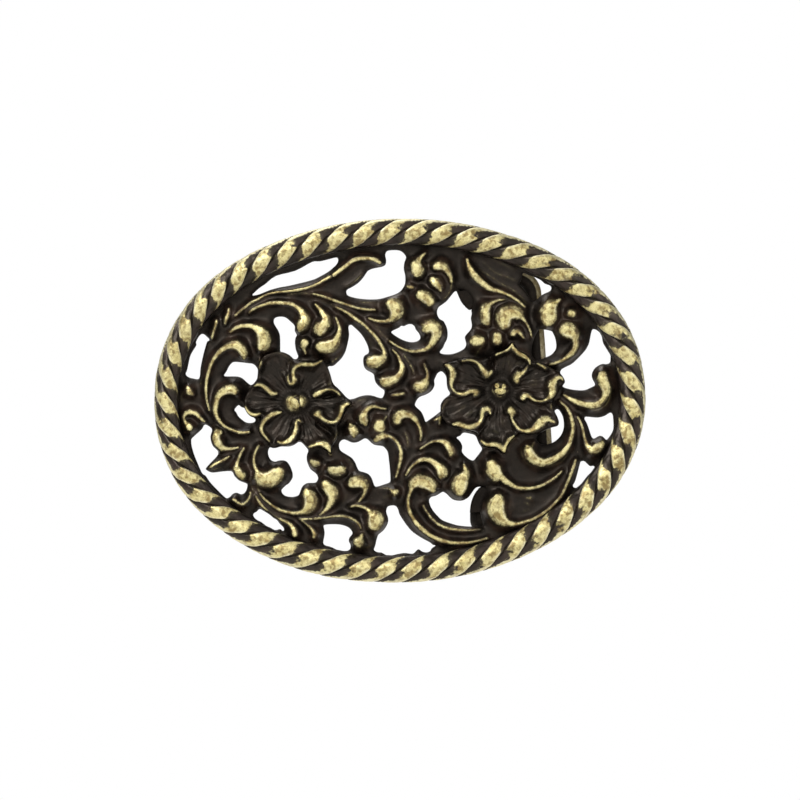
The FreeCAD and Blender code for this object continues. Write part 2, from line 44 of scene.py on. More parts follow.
# ------------------------------------------------------------------ shapes, mm, X right and Z up
# openings of the scrollwork
HOLES = [
    [(-26.85, 19.08), (-25.50, 20.34), (-24.41, 21.07), (-22.42, 22.57), (-18.99, 23.42), (-15.91, 25.05), (-14.47, 25.14), (-11.93, 25.80), (-11.30, 25.77), (-11.21, 25.23), (-11.48, 24.59), (-12.12, 23.96), (-13.02, 23.24), (-14.47, 22.42), (-15.91, 21.79), (-19.89, 20.80), (-21.70, 20.47), (-23.51, 19.98), (-25.32, 19.26), (-26.22, 19.04)],
    [(-22.78, 14.74), (-22.24, 15.10), (-21.16, 15.14), (-20.43, 14.83), (-19.53, 14.10), (-18.99, 13.47), (-18.99, 12.57), (-18.63, 11.84), (-18.90, 11.30), (-18.99, 10.40), (-18.81, 9.13), (-18.44, 7.87), (-19.08, 7.50), (-19.89, 8.26), (-21.16, 8.72), (-21.65, 9.13), (-21.79, 12.03), (-22.78, 13.83)],
    [(-36.17, 11.93), (-35.62, 12.03), (-35.08, 11.66), (-34.54, 11.12), (-34.63, 10.76), (-34.99, 10.58), (-35.62, 8.50), (-36.17, 5.79), (-36.27, 4.61), (-36.53, 3.89), (-37.43, 4.01), (-38.34, 4.25), (-38.88, 4.79), (-38.61, 5.52), (-38.07, 7.87), (-37.61, 8.86), (-36.89, 10.04), (-36.98, 10.49), (-36.71, 11.21)],
    [(-30.20, 6.96), (-28.93, 6.96), (-27.49, 6.78), (-26.58, 6.60), (-26.04, 6.15), (-25.71, 5.52), (-25.95, 3.89), (-26.40, 3.16), (-26.76, 2.86), (-27.22, 2.89), (-28.39, 3.89), (-28.93, 4.20), (-29.66, 4.34), (-31.74, 4.38), (-31.83, 4.70), (-31.46, 5.24), (-31.10, 5.97), (-30.74, 6.51)],
    [(-9.22, 13.56), (-8.86, 13.69), (-8.50, 13.47), (-7.05, 12.03), (-5.97, 10.22), (-5.61, 9.13), (-5.70, 8.50), (-6.33, 8.14), (-6.60, 7.59), (-6.60, 6.78), (-6.42, 6.06), (-5.97, 5.52), (-5.24, 5.15), (-4.70, 4.70), (-4.61, 4.07), (-4.34, 3.25), (-3.62, 2.44), (-2.80, 1.81), (-2.89, 0.99), (-3.25, 0.45), (-3.98, 0.54), (-5.06, 0.90), (-6.15, 0.94), (-7.23, 0.72), (-7.96, 0.45), (-8.68, 0.27), (-9.40, 0.31), (-11.39, 2.35), (-12.03, 2.89), (-12.57, 4.34), (-12.66, 4.97), (-13.02, 5.70), (-12.84, 6.15), (-12.12, 6.27), (-11.39, 6.87), (-10.67, 7.59), (-10.13, 8.41), (-9.76, 9.31), (-9.22, 11.48), (-9.22, 12.39), (-9.31, 13.11)],
    [(-1.54, 12.48), (-0.18, 13.20), (0.18, 13.56), (0.72, 13.47), (1.27, 13.74), (1.99, 13.83), (2.62, 13.47), (2.89, 12.84), (3.44, 12.21), (3.71, 11.48), (3.53, 11.03), (2.89, 10.67), (1.99, 10.58), (1.08, 10.76), (0.00, 11.21), (-0.90, 11.75), (-1.45, 12.21)],
    [(10.45, 20.08), (11.20, 20.02), (12.10, 19.55), (12.80, 18.75), (13.10, 17.80), (13.06, 16.95), (12.93, 16.33), (13.02, 15.64), (12.84, 14.92), (13.02, 13.65), (12.84, 12.84), (11.84, 11.66), (11.84, 11.03), (12.03, 10.22), (11.75, 9.49), (11.12, 9.04), (10.31, 8.68), (9.22, 8.41), (7.96, 8.41), (7.32, 8.59), (7.23, 8.86), (7.78, 9.58), (8.05, 10.31), (8.41, 10.94), (8.59, 11.84), (8.50, 12.93), (8.14, 13.83), (7.78, 14.38), (7.23, 14.65), (6.87, 15.10), (6.69, 15.64), (6.69, 16.27), (7.05, 17.00), (8.32, 17.90), (9.58, 19.44), (10.06, 19.84)],
    [(7.41, 5.24), (7.96, 4.88), (8.41, 4.25), (8.50, 2.98), (8.68, 2.08), (9.04, 1.45), (8.95, 1.08), (8.32, 0.63), (7.78, 0.09), (7.32, -0.72), (7.32, -1.36), (7.23, -2.08), (4.88, -3.80), (4.52, -3.62), (4.25, -2.89), (3.80, -1.99), (2.75, -0.99), (2.80, -0.45), (3.07, 0.18), (3.62, 0.72), (4.52, 1.03), (5.42, 1.54), (5.97, 2.17), (6.24, 2.89), (6.15, 3.62), (6.42, 4.25), (6.78, 4.88)],
    [(25.32, 12.93), (27.31, 12.66), (27.76, 12.21), (28.21, 11.12), (28.30, 9.67), (27.85, 8.77), (27.12, 8.14), (24.95, 7.32), (24.23, 7.59), (23.78, 8.77), (24.23, 11.12), (24.77, 12.21)],
    [(34.81, 12.66), (35.26, 12.89), (35.80, 12.66), (36.35, 12.12), (36.62, 11.48), (36.89, 10.31), (38.07, 8.41), (38.16, 7.69), (38.07, 6.87), (37.43, 6.56), (36.71, 6.60), (35.99, 6.29), (35.35, 5.79), (34.95, 5.15), (34.81, 4.52), (34.95, 3.89), (35.44, 2.86), (34.90, 2.44), (33.63, 1.95), (32.37, 1.86), (30.92, 2.03), (29.84, 2.35), (29.39, 2.89), (29.84, 3.44), (29.57, 4.07), (29.02, 4.61), (29.02, 5.06), (29.29, 5.61), (30.02, 6.06), (31.10, 6.60), (32.19, 7.59), (33.54, 9.04), (34.00, 9.76), (34.36, 10.58)],
    [(-29.20, -0.81), (-28.75, -1.18), (-28.03, -1.36), (-27.67, -1.99), (-27.12, -2.71), (-26.49, -3.07), (-26.13, -3.44), (-26.31, -3.89), (-26.94, -4.07), (-27.85, -3.98), (-28.57, -3.53), (-29.29, -2.89), (-29.66, -2.17), (-30.02, -1.72), (-29.66, -1.18)],
    [(-35.62, -4.52), (-35.17, -4.34), (-34.18, -4.97), (-34.00, -5.52), (-34.27, -6.42), (-34.18, -7.32), (-33.82, -8.23), (-33.09, -8.95), (-32.91, -9.31), (-33.09, -10.04), (-34.54, -11.57), (-35.17, -12.33), (-35.08, -12.57), (-34.18, -13.02), (-33.09, -12.98), (-30.56, -12.75), (-29.93, -13.65), (-29.48, -14.10), (-28.93, -14.56), (-27.85, -14.97), (-27.61, -15.28), (-27.67, -15.73), (-27.85, -16.37), (-28.30, -16.87), (-28.84, -17.00), (-29.29, -16.82), (-29.75, -16.73), (-30.29, -16.96), (-30.74, -17.45), (-31.19, -17.69), (-31.74, -17.54), (-34.18, -15.10), (-35.26, -13.65), (-35.99, -13.02), (-37.43, -9.49), (-37.88, -7.50), (-37.61, -6.69), (-35.99, -5.24)],
    [(-23.51, -8.59), (-23.06, -8.77), (-22.24, -8.59), (-21.52, -8.32), (-19.89, -8.28), (-18.99, -7.78), (-18.17, -7.59), (-17.54, -7.96), (-16.91, -8.50), (-16.58, -9.04), (-16.82, -9.86), (-16.82, -10.76), (-16.55, -11.66), (-16.09, -12.48), (-15.19, -13.20), (-14.77, -14.01), (-15.01, -14.65), (-15.37, -14.92), (-16.64, -14.97), (-17.18, -15.19), (-17.72, -15.73), (-18.21, -17.00), (-18.63, -17.32), (-19.35, -17.47), (-20.43, -17.36), (-21.16, -17.00), (-21.48, -16.46), (-21.43, -16.09), (-20.61, -15.28), (-20.16, -15.01), (-19.53, -14.10), (-19.44, -13.65), (-19.53, -12.93), (-20.07, -11.66), (-20.80, -10.94), (-21.88, -10.90), (-22.60, -11.12), (-23.33, -10.85), (-23.73, -10.22), (-23.87, -9.40), (-23.69, -8.86)],
    [(-10.04, -7.05), (-8.68, -7.59), (-7.78, -7.54), (-7.05, -7.23), (-6.51, -6.91), (-5.88, -6.96), (-4.70, -7.96), (-3.16, -8.23), (-2.53, -8.86), (-2.17, -9.67), (-1.81, -12.57), (-1.72, -14.01), (-1.81, -14.74), (-2.53, -15.10), (-4.34, -15.64), (-4.79, -15.10), (-5.15, -14.10), (-5.70, -13.38), (-6.51, -13.02), (-7.41, -12.75), (-7.78, -12.12), (-8.14, -11.21), (-8.86, -10.31), (-10.49, -9.31), (-10.94, -8.77), (-11.03, -8.05), (-10.76, -7.41)],
    [(10.22, -6.69), (10.85, -6.42), (11.30, -5.88), (11.75, -5.79), (12.66, -5.97), (13.47, -6.24), (13.92, -6.87), (14.29, -7.69), (14.74, -8.41), (14.83, -8.95), (13.65, -10.49), (13.29, -10.81), (12.84, -10.76), (12.12, -10.31), (11.21, -9.31), (11.30, -8.41), (11.12, -7.78), (10.76, -7.23)],
    [(28.21, -1.81), (28.66, -1.63), (29.20, -2.26), (29.62, -3.35), (29.66, -4.97), (29.20, -6.24), (28.39, -7.14), (27.49, -7.69), (26.40, -7.96), (25.50, -7.87), (24.86, -7.32), (24.68, -6.69), (25.23, -5.97), (26.22, -5.33), (27.12, -4.88), (28.03, -4.79), (28.57, -4.52), (28.70, -3.98), (28.12, -2.26)],
    [(33.51, -3.02), (33.91, -2.95), (35.62, -3.13), (36.53, -3.02), (37.25, -2.77), (37.79, -2.41), (38.25, -2.22), (38.55, -2.53), (38.66, -3.16), (38.70, -5.15), (38.07, -6.42), (37.70, -6.96), (37.43, -7.20), (36.80, -6.60), (36.35, -6.42), (35.90, -6.55), (35.44, -6.84), (35.08, -6.93), (34.76, -6.60), (33.91, -4.25), (33.45, -3.44)],
    [(32.91, -11.03), (33.45, -11.03), (34.45, -11.93), (35.08, -11.84), (35.32, -12.21), (35.17, -12.75), (34.36, -13.29), (33.82, -13.83), (32.73, -15.28), (32.28, -15.70), (31.83, -15.82), (31.46, -15.70), (31.32, -15.37), (31.83, -14.38), (32.64, -11.30)],
    [(-1.99, 27.12), (0.00, 27.09), (1.05, 26.13), (1.08, 25.68), (0.81, 24.86), (0.72, 23.78), (0.96, 22.69), (0.99, 21.61), (0.87, 20.89), (0.45, 20.16), (-0.18, 19.53), (-1.08, 19.08), (-2.17, 18.72), (-3.62, 18.35), (-5.24, 18.25), (-6.87, 18.35), (-8.32, 18.63), (-9.40, 18.99), (-9.73, 19.53), (-9.58, 20.07), (-8.68, 20.56), (-7.59, 21.28), (-6.69, 22.24), (-6.06, 23.15), (-5.52, 23.60), (-4.34, 24.00), (-3.25, 24.23), (-2.66, 24.59), (-2.53, 25.41), (-2.66, 26.13), (-2.53, 26.76)],
    [(22.33, 23.15), (23.15, 22.78), (24.41, 22.33), (25.50, 21.79), (26.22, 21.16), (26.76, 20.98), (27.31, 20.71), (27.40, 20.16), (27.03, 19.71), (26.22, 19.35), (25.50, 18.90), (24.14, 17.90), (23.33, 18.90), (22.42, 20.16), (21.57, 21.07), (21.88, 21.79), (22.06, 22.51)],
    [(-26.58, -20.71), (-26.35, -20.40), (-25.95, -20.16), (-25.71, -19.84), (-25.41, -19.62), (-24.95, -19.80), (-23.51, -20.67), (-22.97, -21.16), (-22.24, -21.61), (-21.79, -22.24), (-21.16, -22.88), (-20.98, -23.38), (-21.08, -23.60), (-21.43, -23.51), (-21.61, -23.29), (-21.97, -23.29), (-22.24, -23.42), (-22.97, -23.45), (-23.51, -23.29), (-24.95, -22.12), (-25.77, -21.70), (-26.31, -21.25)],
    [(-13.83, -22.69), (-13.56, -22.51), (-12.66, -22.42), (-11.39, -22.42), (-10.31, -22.57), (-9.40, -22.93), (-8.86, -23.38), (-8.54, -23.96), (-8.77, -24.41), (-9.13, -24.86), (-9.22, -25.50), (-8.95, -25.95), (-8.90, -26.58), (-9.13, -27.03), (-9.76, -27.22), (-10.67, -27.16), (-11.39, -27.00), (-12.12, -26.64), (-12.84, -26.37), (-13.47, -26.22), (-13.87, -25.77), (-13.62, -23.96)],
    [(-2.53, -19.98), (-2.35, -19.35), (-1.99, -19.08), (-1.08, -19.02), (-0.63, -19.26), (-0.31, -19.89), (0.00, -20.80), (1.81, -23.33), (3.62, -24.68), (5.42, -25.64), (5.97, -26.13), (6.60, -26.18), (5.70, -26.73), (5.52, -27.12), (5.06, -27.40), (4.43, -27.43), (3.89, -27.22), (3.53, -26.94), (3.16, -26.94), (2.44, -27.63), (1.81, -27.67), (1.08, -27.58), (0.36, -27.61), (-0.54, -27.76), (-1.45, -27.99), (-2.17, -28.03), (-2.71, -27.85), (-3.35, -27.49), (-3.98, -27.45), (-4.52, -27.22), (-4.74, -26.94), (-4.52, -26.40), (-4.07, -24.50), (-3.71, -24.05), (-3.07, -23.51), (-2.53, -22.78), (-2.17, -21.88), (-2.21, -21.16), (-2.44, -20.52)],
    [(5.24, -18.17), (5.42, -17.63), (5.79, -17.36), (6.51, -17.18), (7.59, -16.55), (7.96, -16.55), (8.50, -16.91), (9.04, -17.45), (9.58, -17.87), (10.31, -18.08), (11.21, -18.08), (11.93, -17.78), (12.57, -17.27), (13.47, -16.00), (14.10, -15.64), (15.19, -15.70), (15.55, -16.18), (14.83, -17.99), (14.47, -19.26), (14.56, -20.52), (14.83, -21.61), (15.01, -22.69), (13.74, -22.84), (12.12, -22.82), (10.85, -22.69), (9.95, -22.51), (7.78, -21.75), (6.87, -20.98), (6.06, -20.07), (5.52, -19.17)],
]
# raised crests: (how far the brass is worn bright, [(x, z, bright width), ...]); where the first number is low, the
# faint line is partly wear and partly a painted sheen
CRESTS = [
    (1.00, [(-29.84, 15.37, 0.22), (-28.93, 16.18, 0.27), (-27.85, 17.00, 0.27), (-26.76, 17.81, 0.27), (-25.68, 18.35, 0.27), (-24.59, 18.99, 0.27), (-23.51, 19.39, 0.29), (-22.06, 19.62, 0.29), (-19.89, 19.80, 0.29), (-18.08, 20.07, 0.31), (-16.27, 20.52, 0.33), (-14.83, 21.16, 0.36), (-13.56, 21.88, 0.40), (-12.66, 22.33, 0.40)]),
    (1.00, [(-11.93, 22.69, 0.54), (-10.85, 23.51, 0.54), (-9.76, 24.32, 0.54), (-8.68, 25.14, 0.54), (-7.78, 25.53, 0.54), (-6.51, 25.68, 0.54), (-5.42, 25.62, 0.54), (-4.34, 25.32, 0.54), (-3.62, 24.77, 0.45)]),
    (1.00, [(-27.31, 15.91, 0.18), (-26.76, 16.37, 0.27), (-25.68, 16.91, 0.33), (-24.59, 17.31, 0.40), (-23.51, 17.59, 0.45), (-22.06, 17.69, 0.47), (-20.80, 17.58, 0.47), (-19.89, 17.49, 0.51), (-18.99, 17.09, 0.54), (-18.08, 16.37, 0.72), (-17.54, 15.46, 0.99), (-17.27, 14.56, 1.27), (-17.69, 13.76, 1.48), (-18.08, 13.29, 1.36)]),
    (1.00, [(-30.74, 12.39, 0.27), (-29.84, 13.02, 0.42), (-28.93, 13.38, 0.54), (-27.85, 13.51, 0.60), (-26.76, 13.38, 0.69), (-25.68, 12.75, 1.01), (-24.90, 11.74, 1.66), (-24.74, 10.85, 1.88), (-24.85, 10.14, 1.63), (-25.14, 9.64, 0.99)]),
    (0.80, [(-31.01, 16.55, 0.27), (-31.10, 15.64, 0.54), (-31.46, 14.74, 0.63), (-31.65, 13.83, 0.27)]),
    (0.90, [(-33.18, 14.47, 0.36), (-33.27, 14.01, 0.45), (-33.63, 12.75, 0.36), (-34.09, 11.30, 0.33)]),
    (0.35, [(-34.09, 11.30, 0.29), (-34.54, 10.40, 0.24), (-35.08, 9.13, 0.22), (-35.53, 7.87, 0.22), (-35.80, 6.78, 0.22), (-35.99, 5.15, 0.18), (-36.08, 2.80, 0.18)]),
    (1.00, [(-28.21, 7.59, 0.36), (-28.30, 8.41, 0.99), (-28.75, 9.22, 1.18), (-29.66, 9.86, 1.18), (-30.74, 9.86, 0.99), (-31.83, 9.40, 0.72), (-32.91, 8.50, 0.60), (-33.82, 7.32, 0.49), (-34.54, 5.52, 0.42), (-34.99, 3.71, 0.40), (-35.12, 1.90, 0.36), (-34.99, 0.27, 0.27), (-34.54, -1.72, 0.18)]),
    (1.00, [(-29.93, 1.63, 1.08), (-30.56, 1.90, 1.27), (-31.65, 1.63, 1.08), (-32.55, 0.99, 0.90), (-33.09, 0.09, 0.78), (-33.36, -0.99, 0.72), (-33.36, -2.08, 0.63), (-33.00, -3.16, 0.54), (-32.01, -4.43, 0.36), (-30.56, -5.24, 0.36), (-28.75, -5.79, 0.40), (-27.31, -5.70, 0.27)]),
    (0.85, [(-38.43, 2.35, 0.54), (-38.07, 1.63, 0.90), (-37.52, 1.08, 0.36)]),
    (0.35, [(-39.24, 1.54, 0.22), (-39.60, 0.81, 0.22), (-39.60, -0.09, 0.22)]),
    (1.00, [(-26.22, 2.71, 0.27), (-25.32, 2.86, 0.45), (-24.41, 2.35, 0.58), (-23.51, 1.63, 0.63), (-22.97, 1.27, 0.58), (-22.33, 1.30, 0.33)]),
    (0.80, [(-25.32, 7.32, 0.27), (-25.14, 6.69, 0.40), (-25.62, 5.79, 0.24)]),
    (1.00, [(-15.28, 17.36, 0.27), (-14.47, 16.46, 0.54), (-13.83, 15.55, 0.81), (-13.47, 14.74, 1.08), (-13.71, 13.73, 1.50), (-14.23, 12.93, 1.74), (-14.32, 12.42, 1.18)]),
    (1.00, [(-11.57, 14.92, 0.18), (-11.03, 13.47, 0.33), (-10.94, 12.93, 0.45), (-11.03, 12.21, 0.63), (-11.39, 11.30, 0.90), (-11.93, 10.40, 1.36), (-12.84, 9.86, 1.81), (-13.92, 9.76, 1.72), (-14.56, 9.76, 1.08)]),
    (0.50, [(-12.30, 6.96, 0.22), (-11.21, 7.69, 0.22), (-10.31, 8.59, 0.18)]),
    (1.00, [(-17.18, 10.40, 1.08), (-17.36, 9.76, 0.81), (-17.27, 9.13, 0.36), (-17.00, 8.50, 0.18)]),
    (1.00, [(-14.10, 7.14, 0.27), (-15.37, 6.51, 0.42), (-16.46, 6.47, 0.63), (-17.72, 6.47, 0.58), (-18.81, 6.06, 0.51), (-19.29, 5.15, 0.43), (-19.26, 4.43, 0.49), (-19.11, 3.62, 0.72), (-19.53, 2.98, 0.45), (-20.07, 3.25, 0.33), (-20.25, 4.07, 0.27), (-20.16, 4.52, 0.18)]),
    (1.00, [(-15.46, 0.90, 0.54), (-15.01, 1.18, 0.72), (-14.29, 1.54, 0.63), (-13.38, 1.90, 0.33), (-12.30, 1.97, 0.27), (-11.39, 1.54, 0.22), (-10.85, 0.99, 0.18)]),
    (0.35, [(-12.57, 4.61, 0.22), (-12.39, 3.53, 0.22), (-12.84, 2.89, 0.36)]),
    (1.00, [(-9.13, -0.72, 0.36), (-9.58, -0.63, 0.54), (-10.31, -1.18, 0.72), (-10.58, -2.08, 0.69), (-10.94, -2.98, 0.63), (-11.57, -3.71, 0.40), (-12.48, -3.94, 0.33), (-13.56, -3.58, 0.36), (-14.29, -2.98, 0.54), (-14.83, -2.53, 0.90), (-15.19, -2.53, 0.72)]),
    (1.00, [(-2.53, -1.54, 0.18), (-3.62, -1.36, 0.27), (-4.70, -1.08, 0.45), (-5.61, -1.36, 0.63), (-6.24, -2.08, 0.81), (-6.55, -2.98, 1.08), (-6.42, -3.71, 1.08), (-6.24, -4.34, 0.54)]),
    (0.35, [(-7.59, -0.09, 0.22), (-6.87, 0.22, 0.27), (-6.15, 0.36, 0.22)]),
    (1.00, [(-11.57, 16.91, 0.22), (-10.67, 16.46, 0.29), (-9.76, 16.00, 0.36), (-8.68, 15.28, 0.40), (-7.78, 14.56, 0.42), (-6.33, 13.56, 0.36), (-5.61, 12.75, 0.40), (-4.52, 11.66, 0.42), (-3.44, 10.04, 0.45), (-2.89, 8.95, 0.45), (-2.89, 8.05, 0.72), (-3.62, 7.50, 1.27), (-4.52, 7.14, 1.81), (-5.24, 7.05, 1.63), (-5.79, 7.05, 0.72)]),
    (1.00, [(-1.27, 9.13, 0.22), (-0.36, 8.05, 0.29), (0.18, 6.78, 0.51), (0.36, 5.88, 0.72), (0.00, 4.88, 0.81), (-0.72, 4.16, 0.99), (-1.63, 3.71, 1.18), (-2.35, 3.53, 1.45), (-2.89, 3.44, 1.45), (-3.44, 3.44, 0.54)]),
    (1.00, [(-1.81, 10.67, 0.24), (-0.72, 9.95, 0.25), (0.54, 9.31, 0.29), (1.81, 8.95, 0.34), (2.71, 8.90, 0.36), (4.16, 9.13, 0.45), (5.24, 9.71, 0.72), (5.97, 10.76, 0.99), (6.42, 11.75, 1.18), (6.33, 12.84, 1.63), (5.61, 13.29, 1.63), (4.88, 13.02, 1.45), (4.34, 12.75, 0.72)]),
    (0.60, [(0.72, 8.23, 0.22), (1.45, 7.14, 0.22), (2.17, 5.88, 0.22), (2.53, 4.79, 0.18)]),
    (1.00, [(4.34, 6.60, 0.18), (4.97, 4.97, 0.27), (4.88, 4.07, 0.54), (4.43, 3.25, 1.08), (3.80, 2.62, 1.45), (3.25, 2.71, 1.27)]),
    (0.70, [(-1.45, 0.99, 0.36), (-0.36, 1.08, 0.54), (0.72, 1.27, 0.36)]),
    (1.00, [(8.14, 6.42, 0.27), (8.86, 6.15, 0.54), (9.40, 5.33, 0.81), (9.46, 4.43, 0.87), (9.28, 3.35, 0.60), (9.31, 2.44, 0.33), (9.95, 1.57, 0.22), (10.85, 1.18, 0.45), (11.75, 1.27, 0.54), (12.66, 1.63, 0.58), (13.38, 1.63, 0.63), (13.83, 1.45, 0.72), (13.47, 1.03, 0.45)]),
    (1.00, [(11.21, 7.14, 0.18), (12.66, 7.29, 0.22), (13.92, 6.78, 0.36), (14.65, 5.97, 0.58), (15.28, 5.24, 0.81), (15.64, 4.79, 0.90), (16.18, 4.79, 0.54), (16.51, 5.24, 0.36)]),
    (0.95, [(13.02, 10.67, 0.90), (13.74, 10.76, 1.63), (14.56, 10.76, 1.27)]),
    (0.45, [(14.83, 9.86, 0.24), (14.29, 9.13, 0.25), (13.56, 8.05, 0.22)]),
    (0.95, [(17.54, 11.57, 1.27), (17.54, 10.85, 1.36)]),
    (0.95, [(17.09, 1.81, 0.72), (18.08, 1.66, 1.36), (19.08, 1.81, 0.72)]),
    (0.90, [(17.09, 2.44, 0.54), (17.63, 2.89, 0.47)]),
    (0.90, [(18.66, 2.89, 0.45), (19.17, 2.26, 0.36)]),
    (1.00, [(29.57, 12.57, 1.27), (30.38, 12.57, 2.17), (31.28, 11.93, 1.45), (31.70, 10.94, 0.81), (31.74, 10.04, 0.81), (31.37, 9.04, 0.81), (30.56, 8.14, 0.69), (29.48, 7.36, 0.45), (28.21, 6.82, 0.36), (27.12, 6.49, 0.27)]),
    (0.80, [(24.77, 6.69, 0.18), (25.50, 6.33, 0.36), (26.22, 5.88, 0.45)]),
    (1.00, [(20.25, 10.13, 0.45), (19.53, 9.22, 0.36), (18.99, 8.95, 0.22), (18.08, 8.59, 0.22), (17.36, 8.23, 0.18)]),
    (1.00, [(20.25, 10.13, 0.45), (20.43, 9.49, 0.54), (21.34, 8.68, 0.72), (22.06, 8.23, 0.76), (22.78, 7.78, 0.63), (23.33, 7.14, 0.36), (23.42, 6.60, 0.18)]),
    (1.00, [(22.97, 6.06, 0.18), (22.24, 5.06, 0.45), (21.52, 4.61, 0.90), (21.07, 4.07, 0.90), (21.16, 3.53, 0.72)]),
    (1.00, [(29.48, 3.71, 0.22), (28.93, 4.16, 0.36), (28.21, 3.89, 0.72), (27.67, 3.16, 0.99), (27.49, 2.26, 1.08), (27.40, 1.36, 0.99), (26.94, 0.54, 0.54), (26.22, 0.09, 0.27), (25.14, -0.14, 0.22), (24.05, 0.18, 0.36), (23.33, 0.72, 0.54), (22.60, 0.90, 0.69), (22.24, 0.45, 0.72)]),
    (0.40, [(27.31, -0.81, 0.45), (27.31, -1.45, 0.40)]),
    (1.00, [(29.66, 0.99, 0.27), (30.74, 0.36, 0.54), (31.83, -0.18, 0.72), (33.27, -0.63, 0.78), (34.72, -0.78, 0.90), (35.80, -0.54, 0.90), (36.71, 0.22, 0.81), (37.22, 1.36, 0.99), (37.07, 2.62, 1.45), (36.71, 3.71, 1.54), (36.65, 4.61, 1.18)]),
    (0.30, [(30.02, 1.93, 0.18), (30.92, 1.66, 0.27), (32.19, 1.54, 0.22)]),
    (0.40, [(38.16, 1.90, 0.27), (37.88, 0.27, 0.36), (37.25, -0.81, 0.40), (36.17, -1.54, 0.36), (35.08, -1.72, 0.36), (34.00, -1.27, 0.36)]),
    (1.00, [(28.93, -0.09, 0.18), (30.02, -1.18, 0.33), (30.74, -2.44, 0.45), (31.19, -4.07, 0.51), (31.28, -5.33, 0.51), (30.92, -6.78, 0.54), (30.38, -8.28, 0.63), (29.20, -9.64, 0.83), (27.61, -10.65, 0.94), (26.22, -11.12, 0.99), (24.77, -10.81, 1.19), (23.69, -9.82, 1.45), (23.22, -8.92, 1.19), (22.97, -8.28, 0.54)]),
    (0.60, [(23.87, -8.59, 0.27), (23.96, -8.05, 0.33), (24.23, -7.59, 0.22)]),
    (0.30, [(26.76, -12.03, 0.18), (27.85, -11.66, 0.27), (29.11, -11.12, 0.27), (30.02, -10.13, 0.27), (30.92, -8.86, 0.18)]),
    (0.30, [(21.88, -8.41, 0.18), (21.97, -9.67, 0.24), (22.60, -10.94, 0.24), (23.69, -11.84, 0.22), (25.32, -12.12, 0.18)]),
    (1.00, [(-35.35, -3.89, 0.27), (-36.17, -3.16, 0.45), (-36.98, -2.35, 0.63), (-37.97, -2.13, 0.72), (-38.70, -2.35, 0.54), (-39.15, -2.98, 0.36), (-38.97, -3.80, 0.27), (-38.43, -4.43, 0.81), (-38.07, -4.97, 0.90)]),
    (1.00, [(-32.55, -5.79, 0.72), (-33.18, -6.15, 1.27), (-33.40, -6.96, 1.54), (-33.00, -7.87, 1.45), (-32.19, -8.50, 0.81), (-31.10, -8.73, 0.40), (-30.20, -8.68, 0.27), (-29.29, -8.50, 0.18)]),
    (1.00, [(-34.81, -12.30, 0.18), (-34.18, -11.84, 0.45), (-32.91, -11.21, 0.40), (-31.83, -10.67, 0.33), (-30.92, -10.13, 0.18)]),
    (0.40, [(-34.36, -12.57, 0.18), (-33.45, -12.44, 0.27), (-32.55, -12.12, 0.18)]),
    (1.00, [(-28.21, -8.68, 0.22), (-28.84, -9.67, 0.31), (-29.33, -10.94, 0.36), (-29.57, -12.03, 0.60), (-29.29, -12.93, 1.45), (-28.84, -13.65, 1.45), (-28.57, -14.20, 0.72)]),
    (1.00, [(-25.59, -8.23, 0.27), (-26.22, -9.49, 0.33), (-26.44, -10.76, 0.36), (-26.22, -12.03, 0.40), (-25.77, -12.84, 0.54), (-25.59, -13.29, 0.90), (-24.77, -14.01, 1.81), (-23.69, -14.10, 2.26), (-22.60, -13.56, 2.35), (-21.88, -13.02, 1.63)]),
    (1.00, [(-27.94, -1.18, 0.27), (-27.67, -1.81, 0.54), (-26.94, -2.44, 0.54), (-26.22, -2.62, 0.54), (-25.32, -2.35, 0.27)]),
    (1.00, [(-21.52, -2.17, 0.27), (-22.60, -2.35, 0.63), (-23.69, -2.95, 0.58), (-24.50, -3.71, 0.58), (-24.95, -4.61, 0.54), (-24.99, -5.52, 0.45), (-24.32, -6.51, 0.27), (-23.60, -7.32, 0.18)]),
    (1.00, [(-22.06, -7.41, 0.18), (-20.98, -7.59, 0.54), (-20.07, -7.20, 0.65), (-19.35, -6.47, 0.61), (-18.88, -5.42, 0.58), (-18.73, -4.61, 0.47), (-18.81, -3.98, 0.33), (-18.35, -3.49, 0.27), (-17.90, -3.89, 0.24)]),
    (1.00, [(-16.46, -8.41, 0.24), (-15.55, -8.03, 0.43), (-14.56, -7.76, 0.63), (-13.74, -7.92, 0.81), (-13.11, -8.41, 0.81), (-12.73, -9.04, 0.65), (-12.59, -9.67, 0.36)]),
    (0.45, [(-11.30, -5.52, 0.18), (-11.45, -6.24, 0.36), (-11.84, -7.14, 0.27)]),
    (0.62, [(-16.00, -11.03, 0.81), (-15.46, -11.27, 1.08), (-14.83, -11.30, 0.81)]),
    (0.66, [(-12.57, -12.48, 0.99), (-11.57, -12.66, 1.45), (-10.58, -12.48, 1.36), (-9.95, -12.21, 0.54)]),
    (0.35, [(-10.67, -9.40, 0.22), (-9.76, -10.13, 0.24), (-9.04, -10.85, 0.24), (-8.50, -11.66, 0.22)]),
    (1.00, [(-8.68, -15.10, 1.08), (-7.87, -14.79, 1.63), (-6.87, -15.01, 1.45), (-6.33, -15.73, 0.81), (-6.37, -16.55, 0.47), (-6.78, -17.45, 0.36), (-7.41, -18.23, 0.24)]),
    (0.40, [(-7.41, -18.23, 0.24), (-8.32, -18.81, 0.22), (-9.22, -19.26, 0.18)]),
    (1.00, [(-13.47, -15.19, 1.27), (-12.84, -16.00, 1.54), (-12.39, -16.73, 1.54), (-12.33, -17.63, 1.08), (-12.66, -18.54, 0.90), (-13.11, -19.35, 0.63), (-13.74, -20.07, 0.40), (-14.47, -20.65, 0.18)]),
    (1.00, [(-9.04, -4.25, 0.27), (-8.68, -5.06, 1.08), (-8.41, -5.70, 1.18), (-8.32, -6.42, 0.54)]),
    (0.30, [(-9.13, -2.80, 0.18), (-9.19, -4.07, 0.22)]),
